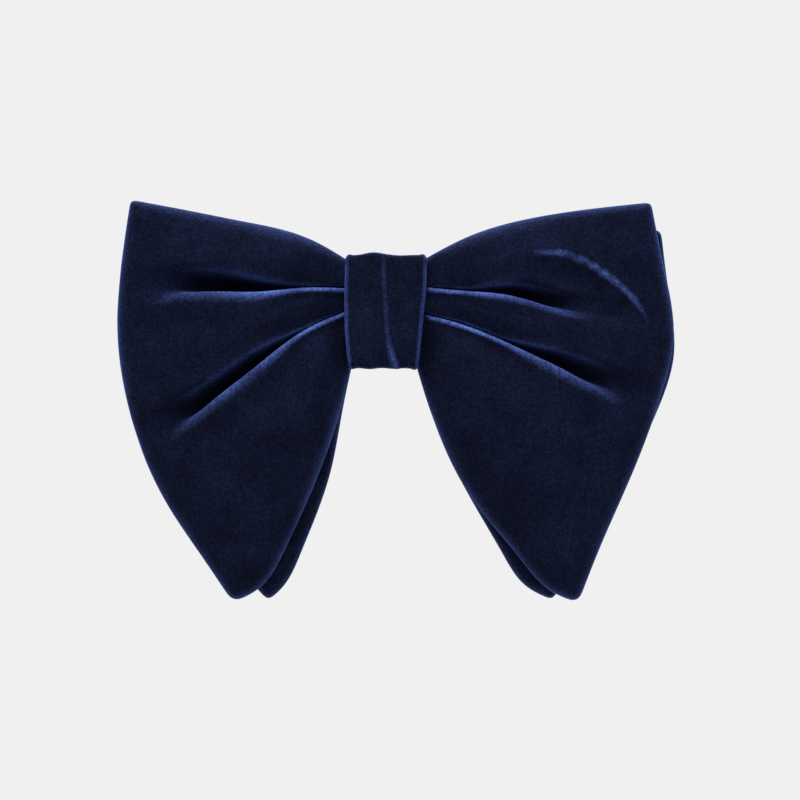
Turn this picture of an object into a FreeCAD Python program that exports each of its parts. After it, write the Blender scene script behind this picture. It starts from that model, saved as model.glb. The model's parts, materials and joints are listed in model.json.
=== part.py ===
"""A pre-tied velvet bow tie: four padded wings, a wrapped knot and an adjustable neck band.

Millimetres. The origin is the centre of the neck loop at the band's mid height, +Z is up and the
wearer faces -Y. Angles round the neck start at the front and grow towards +X.
"""
import FreeCAD, Part
import Sketcher
import os

DRIVING_SIZES = {
    # the neck loop and its strap
    "neck_radius": 63.7,
    "strap_width": 16.0,
    "strap_thickness": 0.9,
    "corner_clearance": 1.6,
    # cloth and thread
    "velvet": 2.6,
    "interlining": 1.2,
    "lining": 1.0,
    "interlining_inset": 3.0,
    "layer_gap": 0.1,
    "wing_gap": 0.8,
    "thread": 0.6,
    "thread_turns": 5,
    "thread_pitch": 3.0,
    "stitch_height": 0.3,
    "stitch_width": 0.5,
    "stitch_length": 1.8,
    "stitch_pitch": 2.0,
    "stitch_reach": 5.6,
    "knot_stitch_count": 9,
    "strap_stitch_count": 5,
    # the knot
    "knot_half_width": 10.2,
    "wrap_thickness": 1.3,
    "knot_padding": 2.6,
    "padding_inset": 1.0,
    "knot_edge_round": 4.0,
    "waist_half_height": 12.7,
    "collar_clearance": 0.5,
    "soft_gap": 0.25,
    "split_gap": 0.3,
    # how the wings hang
    "wing_sweep": 4.0,
    "back_left_turn": 7.0,
    "back_right_turn": 5.0,
    "back_drop": 0.94,
    "swing_room": 0.4,
    # left wing outline: out from the middle, up from the middle
    "left_shoulder_up": 14.8,
    "left_top_out": 39.0,
    "left_top_up": 24.0,
    "left_corner_out": 69.0,
    "left_corner_up": 30.0,
    "left_side_out": 72.3,
    "left_side_up": -5.0,
    "left_low_out": 66.0,
    "left_low_up": -37.5,
    "left_flank_out": 56.0,
    "left_flank_up": -57.0,
    "left_tip_out": 42.0,
    "left_tip_up": -77.3,
    "left_tip_width": 4.0,
    "left_inner_out": 20.0,
    "left_inner_up": -49.5,
    "left_hem_up": -17.0,
    # right wing outline
    "right_shoulder_up": 14.8,
    "right_top_out": 39.5,
    "right_top_up": 24.6,
    "right_corner_out": 71.5,
    "right_corner_up": 29.2,
    "right_side_out": 77.3,
    "right_side_up": -5.0,
    "right_low_out": 70.2,
    "right_low_up": -35.0,
    "right_flank_out": 61.9,
    "right_flank_up": -53.6,
    "right_tip_out": 52.0,
    "right_tip_up": -77.8,
    "right_tip_width": 4.5,
    "right_inner_out": 24.5,
    "right_inner_up": -52.0,
    "right_hem_up": -17.0,
    # the adjuster and the clasp
    "slider_bar": 0.9,
    "slider_half_length": 5.5,
    "slider_rail": 1.2,
    "end_bar_length": 1.6,
    "slide_clearance": 0.2,
    "slider_set_back": 0.55,
    "side_clearance": 0.4,
    "loop_tail": 8.0,
    "eye_wire": 1.6,
    "eye_length": 9.5,
    "eye_corner": 1.2,
    "eye_edge_round": 0.48,
    "pivot_clearance": 0.3,
    "hook_plate": 1.0,
    "hook_bar": 1.2,
    "tongue_width": 8.0,
    "tongue_thickness": 1.2,
    "tongue_slack": 0.6,
    "hook_knee": 4.2,
    "hook_shoulder": 2.0,
    # places round the neck, in degrees from the front
    "riser_angle": 98.0,
    "slider_angle": 122.0,
    "eye_angle": 172.0,
    "hook_angle": 189.0,
    "tail_angle": 225.0,
}

doc = FreeCAD.newDocument("bow_tie")
sizes = doc.addObject("Spreadsheet::Sheet", "Sizes")
for row, (alias, number) in enumerate(DRIVING_SIZES.items(), start=1):
    sizes.set(f"A{row}", alias)
    sizes.set(f"B{row}", str(number))
    sizes.setAlias(f"B{row}", alias)
doc.recompute()


def cell(alias):
    """The sheet cell of one driving size, for use inside an expression."""
    return f"Sizes.{alias}"


def value(expression):
    """What an expression comes to, as a plain number."""
    result = sizes.evalExpression(expression)
    return float(getattr(result, "Value", result))


def degrees(alias):
    """One driving angle, for use inside an expression."""
    return f"({cell(alias)} * 1deg)"


# Radii of the strap's layers, from the neck outwards.
STRAP_IN = cell("neck_radius")
STRAP_OUT = f"({STRAP_IN} + {cell('strap_thickness')})"
SLIDER_IN = f"({STRAP_IN} + {cell('slider_set_back')})"
RUN_IN = f"({SLIDER_IN} + {cell('slider_bar')} + {cell('slide_clearance')})"
RUN_OUT = f"({RUN_IN} + {cell('strap_thickness')})"
EYE_HOLE = f"({cell('eye_wire')} / 2 + {cell('pivot_clearance')})"
EYE_RADIUS = f"({RUN_OUT} + {EYE_HOLE})"
RETURN_IN = f"({EYE_RADIUS} + {EYE_HOLE})"
RETURN_OUT = f"({RETURN_IN} + {cell('strap_thickness')})"
SLIDER_HOLE = f"({cell('slider_bar')} / 2 + {cell('layer_gap')})"
SLIDER_LOOP = f"({SLIDER_HOLE} + {cell('strap_thickness')})"
SLIDER_BAR = f"({RUN_OUT} + {cell('soft_gap')} + {SLIDER_LOOP})"
LOOP_OUT = f"({SLIDER_BAR} + {SLIDER_LOOP})"
TAIL_OUT = f"({STRAP_OUT} + {cell('strap_thickness')})"
HOOK_HOLE = f"({cell('hook_bar')} / 2 + {cell('pivot_clearance')})"
HOOK_RADIUS = f"({STRAP_OUT} + {HOOK_HOLE})"

# The fold round the eye's bar ends in a short outer leg, where the return run takes over.
FOLD_REACH = f"({EYE_HOLE} + {cell('strap_thickness')} + {cell('soft_gap')})"
RETURN_STOP = f"({degrees('eye_angle')} - {FOLD_REACH} / {RETURN_IN} * 180deg / pi)"

# Depths in front of the neck's axis, from the neck forwards, at the knot.
KNOT_BACK = f"({cell('neck_radius')} + {cell('collar_clearance')})"
WRAP_BACK = f"({KNOT_BACK} + {cell('wrap_thickness')})"
FRONT_RUN_IN = f"({WRAP_BACK} + {cell('soft_gap')})"
FRONT_RUN_OUT = f"({FRONT_RUN_IN} + {cell('strap_thickness')})"
THREAD_BACK = f"({FRONT_RUN_OUT} + {cell('soft_gap')})"
WING_BACK = f"({THREAD_BACK} + {cell('thread')} + {cell('soft_gap')})"
WING_DEPTH = f"({cell('lining')} + {cell('interlining')} + {cell('velvet')} + 2 * {cell('layer_gap')})"
FRONT_WING = f"({WING_BACK} + {WING_DEPTH} + {cell('wing_gap')})"
SWEEP_RISE = f"({cell('knot_half_width')} * sin({degrees('wing_sweep')}))"
THREAD_FRONT = f"({FRONT_WING} + {WING_DEPTH} + {SWEEP_RISE} + {cell('soft_gap')})"
PADDING_BACK = f"({THREAD_FRONT} + {cell('thread')} + {cell('soft_gap')})"
WRAP_FRONT = f"({PADDING_BACK} + {cell('knot_padding')} + {cell('soft_gap')})"
KNOT_FRONT = f"({WRAP_FRONT} + {cell('wrap_thickness')})"

# Half heights inside the knot, from the middle upwards.
THREAD_IN_UP = f"({cell('waist_half_height')} + {cell('soft_gap')})"
THREAD_OUT_UP = f"({THREAD_IN_UP} + {cell('thread')})"
WRAP_IN_UP = f"({THREAD_OUT_UP} + {cell('soft_gap')})"
WRAP_OUT_UP = f"({WRAP_IN_UP} + {cell('wrap_thickness')})"
STRAP_HALF = f"({cell('strap_width')} / 2)"

# The strap leaves its straight front run at a corner beside the knot and meets the neck circle
# on a tangent.
CORNER_OUT = f"({cell('knot_half_width')} + {cell('corner_clearance')})"


def tangent_angle(corner_depth, radius):
    """The angle round the neck where a line from the corner touches the circle."""
    reach = f"sqrt({CORNER_OUT} ^ 2 + {corner_depth} ^ 2)"
    return f"(atan({CORNER_OUT} / {corner_depth}) + acos({radius} / {reach}))"


TANGENT = tangent_angle(FRONT_RUN_IN, STRAP_IN)
OUTER_CORNER_OUT = (
    f"({STRAP_OUT} * sin({TANGENT}) - ({FRONT_RUN_OUT} - {STRAP_OUT} * cos({TANGENT})) / tan({TANGENT}))"
)


def around(radius, angle):
    """A point at a radius and an angle round the neck, in plan."""
    return f"({radius}) * sin({angle})", f"-({radius}) * cos({angle})"


def origin_part(body, role):
    return next(item for item in body.Origin.OriginFeatures if item.Role == role)


def new_body(label):
    body = doc.addObject("PartDesign::Body", label)
    body.Label = label
    return body


def bind(target, name, expression):
    target.setExpression(name, expression)


def new_sketch(body, name, role, offset):
    sketch = body.newObject("Sketcher::SketchObject", f"{body.Label}_{name}")
    sketch.AttachmentSupport = [(origin_part(body, role), "")]
    sketch.MapMode = "FlatFace"
    bind(sketch, "AttachmentOffset.Base.z", offset)
    return sketch


def pin_point(sketch, edge, end, point):
    """Hold one end of an edge at a point given by two expressions."""
    for kind, expression in zip(("DistanceX", "DistanceY"), point):
        number = sketch.addConstraint(
            Sketcher.Constraint(kind, -1, 1, edge, end, value(expression))
        )
        bind(sketch, f"Constraints[{number}]", expression)


def outline(sketch, corners):
    """A closed outline. A corner is (x, y), or (x, y, middle) where an arc through middle follows."""
    flat = [FreeCAD.Vector(value(corner[0]), value(corner[1]), 0) for corner in corners]
    edges = []
    for index, corner in enumerate(corners):
        start = flat[index]
        stop = flat[(index + 1) % len(corners)]
        if len(corner) == 2:
            edges.append((sketch.addGeometry(Part.LineSegment(start, stop), False), 1, 2))
            continue
        middle = FreeCAD.Vector(value(corner[2][0]), value(corner[2][1]), 0)
        if (middle - start).cross(stop - middle).z > 0:
            edges.append((sketch.addGeometry(Part.Arc(start, middle, stop), False), 1, 2))
        else:
            edges.append((sketch.addGeometry(Part.Arc(stop, middle, start), False), 2, 1))
    for index, corner in enumerate(corners):
        edge, first, last = edges[index]
        following, following_first, _ = edges[(index + 1) % len(corners)]
        sketch.addConstraint(Sketcher.Constraint("Coincident", edge, last, following, following_first))
        pin_point(sketch, edge, first, corner[:2])
        if len(corner) == 3:
            middle = sketch.addGeometry(
                Part.Point(FreeCAD.Vector(value(corner[2][0]), value(corner[2][1]), 0)), True
            )
            sketch.addConstraint(Sketcher.Constraint("PointOnObject", middle, 1, edge))
            pin_point(sketch, middle, 1, corner[2])


def circle(sketch, centre, radius):
    place = FreeCAD.Vector(value(centre[0]), value(centre[1]), 0)
    edge = sketch.addGeometry(Part.Circle(place, FreeCAD.Vector(0, 0, 1), value(radius)), False)
    pin_point(sketch, edge, 3, centre)
    number = sketch.addConstraint(Sketcher.Constraint("Radius", edge, value(radius)))
    bind(sketch, f"Constraints[{number}]", radius)


def pad(body, sketch, length):
    feature = body.newObject("PartDesign::Pad", f"{sketch.Label}_pad")
    feature.Profile = sketch
    bind(feature, "Length", length)
    return feature


def pocket(body, sketch, length):
    """A cut along the sketch's own direction."""
    feature = body.newObject("PartDesign::Pocket", f"{sketch.Label}_cut")
    feature.Profile = sketch
    feature.Reversed = True
    bind(feature, "Length", length)
    return feature


def turn_round_neck(body, angle):
    """Place a piece drawn at the front of the neck at its own angle."""
    body.Placement = FreeCAD.Placement(
        FreeCAD.Vector(0, 0, 0), FreeCAD.Rotation(FreeCAD.Vector(0, 0, 1), 1)
    )
    bind(body, "Placement.Rotation.Angle", angle)


def repeat(body, feature, role, length, count):
    """Repeat a feature along one of the body's own axes."""
    pattern = body.newObject("PartDesign::LinearPattern", f"{feature.Label}_row")
    pattern.Originals = [feature]
    pattern.Direction = (origin_part(body, role), [""])
    bind(pattern, "Length", length)
    bind(pattern, "Occurrences", count)
    body.Tip = pattern
    return pattern


def band_sector(inner, outer, start, stop):
    """The plan outline of a strap lying round the neck between two angles."""
    halfway = f"(({start}) + ({stop})) / 2"
    return [
        (*around(inner, start), around(inner, halfway)),
        around(inner, stop),
        (*around(outer, stop), around(outer, halfway)),
        around(outer, start),
    ]


def strap_pad(body, name, corners):
    """A full-width strap piece drawn in plan."""
    sketch = new_sketch(body, name, "XY_Plane", f"-{STRAP_HALF}")
    outline(sketch, corners)
    return pad(body, sketch, cell("strap_width"))


def strap_loop(body, centre, hole, name="loop"):
    """The strap's end folded round a bar: a sleeve with the bar's hole through it."""
    sleeve = new_sketch(body, f"{name}_sleeve", "XY_Plane", f"-{STRAP_HALF}")
    circle(sleeve, centre, f"{hole} + {cell('strap_thickness')}")
    pad(body, sleeve, cell("strap_width"))
    bore = new_sketch(body, f"{name}_bore", "XY_Plane", f"-{STRAP_HALF}")
    circle(bore, centre, hole)
    pocket(body, bore, cell("strap_width"))


# ---------------------------------------------------------------- wings

def wing_outline(side, turn, inset):
    """One wing seen from the front, as (x, z) corners, from the waist out and back again.

    side is left or right. turn swings the hanging part of the wing towards the middle, and inset
    draws a smaller panel inside the same outline.
    """
    sign = "-1" if side == "left" else "1"
    narrow = f"min({inset}; 1)"  # a smaller panel is cut narrower at the waist, by 1 mm at most
    drop = "1" if turn == NO_TURN else cell("back_drop")

    # inward and downward say how far a corner moves for each millimetre of inset.
    def hang(out, up, inward, downward):
        across = f"({out} - {inward} * {inset})"
        height = f"({up} * {drop} - {downward} * {inset})"
        swung_out = f"({across} * cos({turn}) + {height} * sin({turn}))"
        swung_up = f"({height} * cos({turn}) - {across} * sin({turn}))"
        return f"{sign} * {swung_out}", swung_up

    def shape(name, inward, downward):
        return hang(cell(f"{side}_{name}_out"), cell(f"{side}_{name}_up"), inward, downward)

    waist_up = f"({cell('waist_half_height')} - {narrow} - {SWING_ROOM[turn]})"
    waist_in = f"{sign} * {cell('split_gap')} / 2"
    waist_out = f"{sign} * {cell('knot_half_width')}"
    shoulder_out = f"{sign} * ({CORNER_OUT} + {inset})"
    tip_inner = f"({cell(side + '_tip_out')} - {cell(side + '_tip_width')})"
    return [
        (waist_in, waist_up),
        (waist_out, waist_up),
        (shoulder_out, f"{cell(side + '_shoulder_up')} - {inset}", shape("top", 0, 1)),
        (*shape("corner", 1, 1), shape("side", 1, 0)),
        (*shape("low", 1, 0), shape("flank", 0.8, -0.6)),
        shape("tip", 0.6, -1.5),
        (*hang(tip_inner, cell(f"{side}_tip_up"), -0.3, -1.5), shape("inner", -1, -0.4)),
        (shoulder_out, f"{cell(side + '_hem_up')} + {inset}"),
        (waist_out, f"-{waist_up}"),
        (waist_in, f"-{waist_up}"),
    ]


NO_TURN = "0deg"
BACK_LEFT_TURN = degrees("back_left_turn")
BACK_RIGHT_TURN = degrees("back_right_turn")
SWING_ROOM = {
    NO_TURN: "0",
    BACK_LEFT_TURN: cell("swing_room"),
    BACK_RIGHT_TURN: cell("swing_room"),
}


def wing_layer(label, side, turn, inset, wing_back, before, thickness):
    """One flat panel of a wing, swept back towards the shoulder from the knot's side."""
    body = new_body(label)
    sketch = new_sketch(body, "outline", "XZ_Plane", "0")
    outline(sketch, wing_outline(side, turn, inset))
    pad(body, sketch, thickness)
    sign = "-1" if side == "left" else "1"
    body.Placement = FreeCAD.Placement(
        FreeCAD.Vector(0, 0, 0),
        FreeCAD.Rotation(FreeCAD.Vector(0, 0, int(sign)), 1),
    )
    sweep = degrees("wing_sweep")
    bind(body, "Placement.Rotation.Angle", cell("wing_sweep"))
    bind(body, "Placement.Base.x", f"{sign} * {cell('knot_half_width')} * (1 - cos({sweep}))")
    bind(body, "Placement.Base.y", f"-({wing_back} + {before} + {SWEEP_RISE})")


def wing(layer, side, turn, wing_back):
    """Lining at the back, then interlining, then the velvet face."""
    name = f"{layer}_{side}"
    gap = cell("layer_gap")
    core_from = f"({cell('lining')} + {gap})"
    face_from = f"({core_from} + {cell('interlining')} + {gap})"
    inset = cell("interlining_inset")
    wing_layer(f"{name}_lining", side, turn, "0", wing_back, "0", cell("lining"))
    wing_layer(f"{name}_interlining", side, turn, inset, wing_back, core_from, cell("interlining"))
    wing_layer(f"{name}_velvet", side, turn, "0", wing_back, face_from, cell("velvet"))


# ---------------------------------------------------------------- knot

def ring_profile(back, front, up, round_edge):
    """A rounded rectangle in the (y, z) plane: straight sides joined by quarter arcs."""
    inner = f"({round_edge} * (1 - sqrt(0.5)))"
    return [
        (f"-{back} - {round_edge}", f"-{up}", (f"-{back} - {inner}", f"-{up} + {inner}")),
        (f"-{back}", f"-{up} + {round_edge}"),
        (f"-{back}", f"{up} - {round_edge}", (f"-{back} - {inner}", f"{up} - {inner}")),
        (f"-{back} - {round_edge}", up),
        (f"-{front} + {round_edge}", up, (f"-{front} + {inner}", f"{up} - {inner}")),
        (f"-{front}", f"{up} - {round_edge}"),
        (f"-{front}", f"-{up} + {round_edge}", (f"-{front} + {inner}", f"-{up} + {inner}")),
        (f"-{front} + {round_edge}", f"-{up}"),
    ]


def ring(label, start, width, inner, outer):
    """A band of cloth or thread wrapped round the waist of the bow."""
    body = new_body(label)
    sketch = new_sketch(body, "ring", "YZ_Plane", start)
    outline(sketch, ring_profile(*outer))
    outline(sketch, ring_profile(*inner))
    return body, pad(body, sketch, width)


def waist_thread():
    """Turns of thread that gather the wings, side by side along the waist."""
    spread = f"({cell('thread_pitch')} * ({cell('thread_turns')} - 1))"
    body, turn = ring(
        "waist_thread", f"-{spread} / 2 - {cell('thread')} / 2", cell("thread"),
        (f"({THREAD_BACK} + {cell('thread')})", THREAD_FRONT, THREAD_IN_UP, cell("soft_gap")),
        (THREAD_BACK, f"({THREAD_FRONT} + {cell('thread')})", THREAD_OUT_UP,
         f"({cell('soft_gap')} + {cell('thread')})"),
    )
    doc.recompute()
    repeat(body, turn, "X_Axis", spread, cell("thread_turns"))


def knot_padding():
    body = new_body("knot_padding")
    sketch = new_sketch(body, "pad", "XZ_Plane", PADDING_BACK)
    half = f"({cell('knot_half_width')} - {cell('padding_inset')})"
    up = f"({cell('waist_half_height')} - {cell('knot_edge_round')} / 2)"
    outline(sketch, [(f"-{half}", f"-{up}"), (half, f"-{up}"), (half, up), (f"-{half}", up)])
    pad(body, sketch, cell("knot_padding"))


def knot_wrap():
    ring(
        "knot_wrap", f"-{cell('knot_half_width')}", f"2 * {cell('knot_half_width')}",
        (WRAP_BACK, WRAP_FRONT, WRAP_IN_UP, f"({cell('knot_edge_round')} - {cell('wrap_thickness')})"),
        (KNOT_BACK, KNOT_FRONT, WRAP_OUT_UP, cell("knot_edge_round")),
    )


def stitch_row(label, offset, count, turned=None):
    """A column of short stitches on a surface that faces the neck or away from it."""
    body = new_body(label)
    sketch = new_sketch(body, "stitch", "XZ_Plane", offset)
    half_width = f"{cell('stitch_length')} / 2"
    reach = f"({cell('stitch_pitch')} * ({count} - 1))"
    start = f"(-{reach} / 2 - {cell('stitch_width')} / 2)"
    outline(sketch, [
        (f"-{half_width}", start),
        (half_width, start),
        (half_width, f"{start} + {cell('stitch_width')}"),
        (f"-{half_width}", f"{start} + {cell('stitch_width')}"),
    ])
    stitch = pad(body, sketch, cell("stitch_height"))
    doc.recompute()
    repeat(body, stitch, "Z_Axis", reach, count)
    if turned:
        turn_round_neck(body, turned)


# ---------------------------------------------------------------- neck band

def right_band():
    """From the knot round the right side, out over the adjuster and round the eye's bar."""
    body = new_body("right_band")
    tangent_half = f"({TANGENT} + {degrees('riser_angle')}) / 2"
    riser = degrees("riser_angle")
    riser_end = f"({riser} + {cell('strap_thickness')} / {RUN_IN} * 180deg / pi)"
    start = f"-({CORNER_OUT} - {cell('split_gap')})"
    strap_pad(body, "front", [
        (start, f"-{FRONT_RUN_IN}"),
        (CORNER_OUT, f"-{FRONT_RUN_IN}"),
        (*around(STRAP_IN, TANGENT), around(STRAP_IN, tangent_half)),
        around(STRAP_IN, riser),
        (*around(STRAP_OUT, riser), around(STRAP_OUT, tangent_half)),
        around(STRAP_OUT, TANGENT),
        (OUTER_CORNER_OUT, f"-{FRONT_RUN_OUT}"),
        (start, f"-{FRONT_RUN_OUT}"),
    ])
    strap_pad(body, "riser", band_sector(STRAP_IN, RUN_OUT, riser, riser_end))
    strap_pad(body, "run", band_sector(RUN_IN, RUN_OUT, riser, degrees("eye_angle")))
    strap_pad(body, "leg", band_sector(RETURN_IN, RETURN_OUT, RETURN_STOP, degrees("eye_angle")))
    strap_loop(body, around(EYE_RADIUS, degrees("eye_angle")), EYE_HOLE)


def return_run():
    """The strap's return from the eye to the slider, on the outside."""
    body = new_body("return_run")
    past_slider = f"({cell('loop_tail')} + {cell('soft_gap')}) / {LOOP_OUT} * 180deg / pi"
    start = f"({degrees('slider_angle')} + {past_slider})"
    strap_pad(body, "run", band_sector(RETURN_IN, RETURN_OUT, start, RETURN_STOP))


def left_band():
    """From the knot round the left side to the place where the strap flexes open."""
    body = new_body("left_band")
    start = f"-{TANGENT}"
    stop = f"(-360deg + {degrees('tail_angle')} + {half_split_angle()})"
    halfway = f"({start} + {stop}) / 2"
    corner_x = f"-{CORNER_OUT}"
    corner_y = f"-{FRONT_RUN_IN}"
    strap_pad(body, "strap", [
        (corner_x, corner_y),
        (f"{corner_x} - {cell('strap_thickness')} * sin({TANGENT})",
         f"{corner_y} - {cell('strap_thickness')} * cos({TANGENT})"),
        (*around(STRAP_OUT, start), around(STRAP_OUT, halfway)),
        around(STRAP_OUT, stop),
        (*around(STRAP_IN, stop), around(STRAP_IN, halfway)),
        around(STRAP_IN, start),
    ])


def half_split_angle():
    return f"({cell('split_gap')} / 2 / {STRAP_IN} * 180deg / pi)"


def clasp_tail():
    """The end of the left strap, doubled back round the hook's bar."""
    body = new_body("clasp_tail")
    hook_at = degrees("hook_angle")
    start = f"({degrees('tail_angle')} - {half_split_angle()})"
    doubled = f"({hook_at} + {cell('loop_tail')} / {STRAP_OUT} * 180deg / pi)"
    strap_pad(body, "strap", band_sector(STRAP_IN, STRAP_OUT, hook_at, start))
    strap_pad(body, "doubled", band_sector(STRAP_IN, TAIL_OUT, hook_at, doubled))
    strap_loop(body, around(HOOK_RADIUS, hook_at), HOOK_HOLE)


# ---------------------------------------------------------------- metal fittings

RAIL_IN = f"({STRAP_HALF} + {cell('side_clearance')})"
RAIL_OUT = f"({RAIL_IN} + {cell('slider_rail')})"
RAIL_OUT_EYE = f"({RAIL_IN} + {cell('eye_wire')})"


def slider():
    """A three-bar slide: two end bars next to the neck and a raised middle bar."""
    body = new_body("slider")
    half_turn = f"({cell('slider_half_length')} / {SLIDER_IN} * 180deg / pi)"
    bar_turn = f"({cell('end_bar_length')} / {SLIDER_IN} * 180deg / pi)"
    rail_out = f"({SLIDER_BAR} + {cell('slider_bar')} / 2)"
    for name, bottom in (("lower", f"-{RAIL_OUT}"), ("upper", RAIL_IN)):
        rail = new_sketch(body, f"{name}_rail", "XY_Plane", bottom)
        outline(rail, band_sector(SLIDER_IN, rail_out, f"-{half_turn}", half_turn))
        pad(body, rail, cell("slider_rail"))
        if name == "lower":
            bars = new_sketch(body, "end_bars", "XY_Plane", f"-{RAIL_OUT}")
            bar_out = f"({SLIDER_IN} + {cell('slider_bar')})"
            outline(bars, band_sector(SLIDER_IN, bar_out, f"-{half_turn}", f"-{half_turn} + {bar_turn}"))
            outline(bars, band_sector(SLIDER_IN, bar_out, f"{half_turn} - {bar_turn}", half_turn))
            pad(body, bars, f"2 * {RAIL_OUT}")
    middle = new_sketch(body, "middle_bar", "XY_Plane", f"-{RAIL_OUT}")
    circle(middle, around(SLIDER_BAR, "0deg"), f"{cell('slider_bar')} / 2")
    pad(body, middle, f"2 * {RAIL_OUT}")
    turn_round_neck(body, cell("slider_angle"))


def slider_loop():
    """The strap's end, folded round the middle bar and sewn down on itself."""
    body = new_body("slider_loop")
    tail = f"({cell('loop_tail')} / {LOOP_OUT} * 180deg / pi)"
    inside = f"({LOOP_OUT} - 2 * {cell('strap_thickness')})"
    strap_pad(body, "tail", band_sector(inside, LOOP_OUT, "0deg", tail))
    strap_loop(body, around(SLIDER_BAR, "0deg"), SLIDER_HOLE)
    turn_round_neck(body, cell("slider_angle"))


BACK_OF_NECK = "180"
EYE_FROM_BACK = f"({degrees('eye_angle')} - 180deg)"
HOOK_FROM_BACK = f"({degrees('hook_angle')} - 180deg)"
EYE_X = f"({EYE_RADIUS} * sin({EYE_FROM_BACK}))"
EYE_DEPTH = f"({EYE_RADIUS} * cos({EYE_FROM_BACK}))"
HOOK_X = f"({HOOK_RADIUS} * sin({HOOK_FROM_BACK}))"
HOOK_DEPTH = f"({HOOK_RADIUS} * cos({HOOK_FROM_BACK}))"
PLATE_IN = f"({EYE_DEPTH} + {cell('eye_wire')} / 2 + {cell('pivot_clearance')})"
PLATE_OUT = f"({PLATE_IN} + {cell('hook_plate')})"


def rounded_frame(near, far, up, corner):
    """A rectangle in the (x, z) plane with arcs for its four corners."""
    bow = f"({corner} * (1 - sqrt(0.5)))"
    return [
        (near, f"{up} - {corner}", (f"{near} + {bow}", f"{up} - {bow}")),
        (f"{near} + {corner}", up),
        (f"{far} - {corner}", up, (f"{far} - {bow}", f"{up} - {bow}")),
        (far, f"{up} - {corner}"),
        (far, f"-{up} + {corner}", (f"{far} - {bow}", f"-{up} + {bow}")),
        (f"{far} - {corner}", f"-{up}"),
        (f"{near} + {corner}", f"-{up}", (f"{near} + {bow}", f"-{up} + {bow}")),
        (near, f"-{up} + {corner}"),
    ]


def eye():
    """A closed frame: its near side turns in the strap's fold, the hook catches the far side."""
    body = new_body("eye")
    half_wire = f"({cell('eye_wire')} / 2)"
    frame = new_sketch(body, "frame", "XZ_Plane", f"{EYE_DEPTH} - {half_wire}")
    near = f"({EYE_X} - {half_wire})"
    far = f"({EYE_X} + {cell('eye_length')} + {half_wire})"
    outline(frame, rounded_frame(near, far, RAIL_OUT_EYE, f"({cell('eye_corner')} + {half_wire})"))
    outline(frame, rounded_frame(
        f"({near} + {cell('eye_wire')})", f"({far} - {cell('eye_wire')})", RAIL_IN,
        f"({cell('eye_corner')} - {half_wire})",
    ))
    plate = pad(body, frame, cell("eye_wire"))
    doc.recompute()
    rounding = body.newObject("PartDesign::Fillet", "eye_rounding")
    faces = [
        f"Face{number}" for number, face in enumerate(plate.Shape.Faces, start=1)
        if abs(face.normalAt(0, 0).y) > 0.9 and isinstance(face.Surface, Part.Plane)
    ]
    rounding.Base = (plate, faces)
    bind(rounding, "Radius", cell("eye_edge_round"))
    turn_round_neck(body, BACK_OF_NECK)


def hook():
    """A bent plate: a bar in the strap's fold, a step over the eye and a tongue into its window."""
    body = new_body("hook")
    half_bar = f"({cell('hook_bar')} / 2)"
    half_plate = f"({cell('hook_plate')} / 2)"
    plate = new_sketch(body, "plate", "XY_Plane", f"-{RAIL_OUT}")
    outline(plate, [
        (f"{HOOK_X} + {half_bar}", f"-{HOOK_DEPTH} + {half_plate}"),
        (f"{HOOK_X} + {half_bar}", f"-{HOOK_DEPTH} - {half_plate}"),
        (cell("hook_knee"), f"-{PLATE_OUT}"),
        (cell("hook_shoulder"), f"-{PLATE_OUT}"),
        (cell("hook_shoulder"), f"-{PLATE_IN}"),
        (cell("hook_knee"), f"-{PLATE_IN}"),
    ])
    pad(body, plate, f"2 * {RAIL_OUT}")
    notch = new_sketch(body, "notch", "XY_Plane", f"-{RAIL_IN}")
    reach = f"({HOOK_HOLE} + {cell('strap_thickness')} + {cell('pivot_clearance')})"
    beyond = f"({HOOK_X} + {reach})"
    outline(notch, [
        (f"{HOOK_X} - {reach}", f"-{HOOK_DEPTH} + {reach}"),
        (beyond, f"-{HOOK_DEPTH} + {reach}"),
        (beyond, f"-{PLATE_OUT} - {half_plate}"),
        (f"{HOOK_X} - {reach}", f"-{PLATE_OUT} - {half_plate}"),
    ])
    pocket(body, notch, f"2 * {RAIL_IN}")
    bar = new_sketch(body, "bar", "XY_Plane", f"-{RAIL_OUT}")
    circle(bar, (HOOK_X, f"-{HOOK_DEPTH}"), half_bar)
    pad(body, bar, f"2 * {RAIL_OUT}")
    tongue = new_sketch(body, "tongue", "XY_Plane", f"-{cell('tongue_width')} / 2")
    tip = f"({EYE_X} + {EYE_HOLE} + {cell('strap_thickness')} + {cell('tongue_slack')})"
    root = f"({cell('hook_shoulder')} + {half_plate})"
    tip_depth = f"({EYE_DEPTH} - {cell('eye_wire')} / 2)"
    outline(tongue, [
        (root, f"-{PLATE_IN}"),
        (root, f"-{PLATE_OUT}"),
        (tip, f"-{PLATE_OUT}"),
        (tip, f"-{tip_depth}"),
        (f"{tip} + {cell('tongue_thickness')}", f"-{tip_depth}"),
        (f"{tip} + {cell('tongue_thickness')}", f"-{PLATE_IN}"),
    ])
    pad(body, tongue, cell("tongue_width"))
    turn_round_neck(body, BACK_OF_NECK)


# ---------------------------------------------------------------- the whole bow tie

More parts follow.
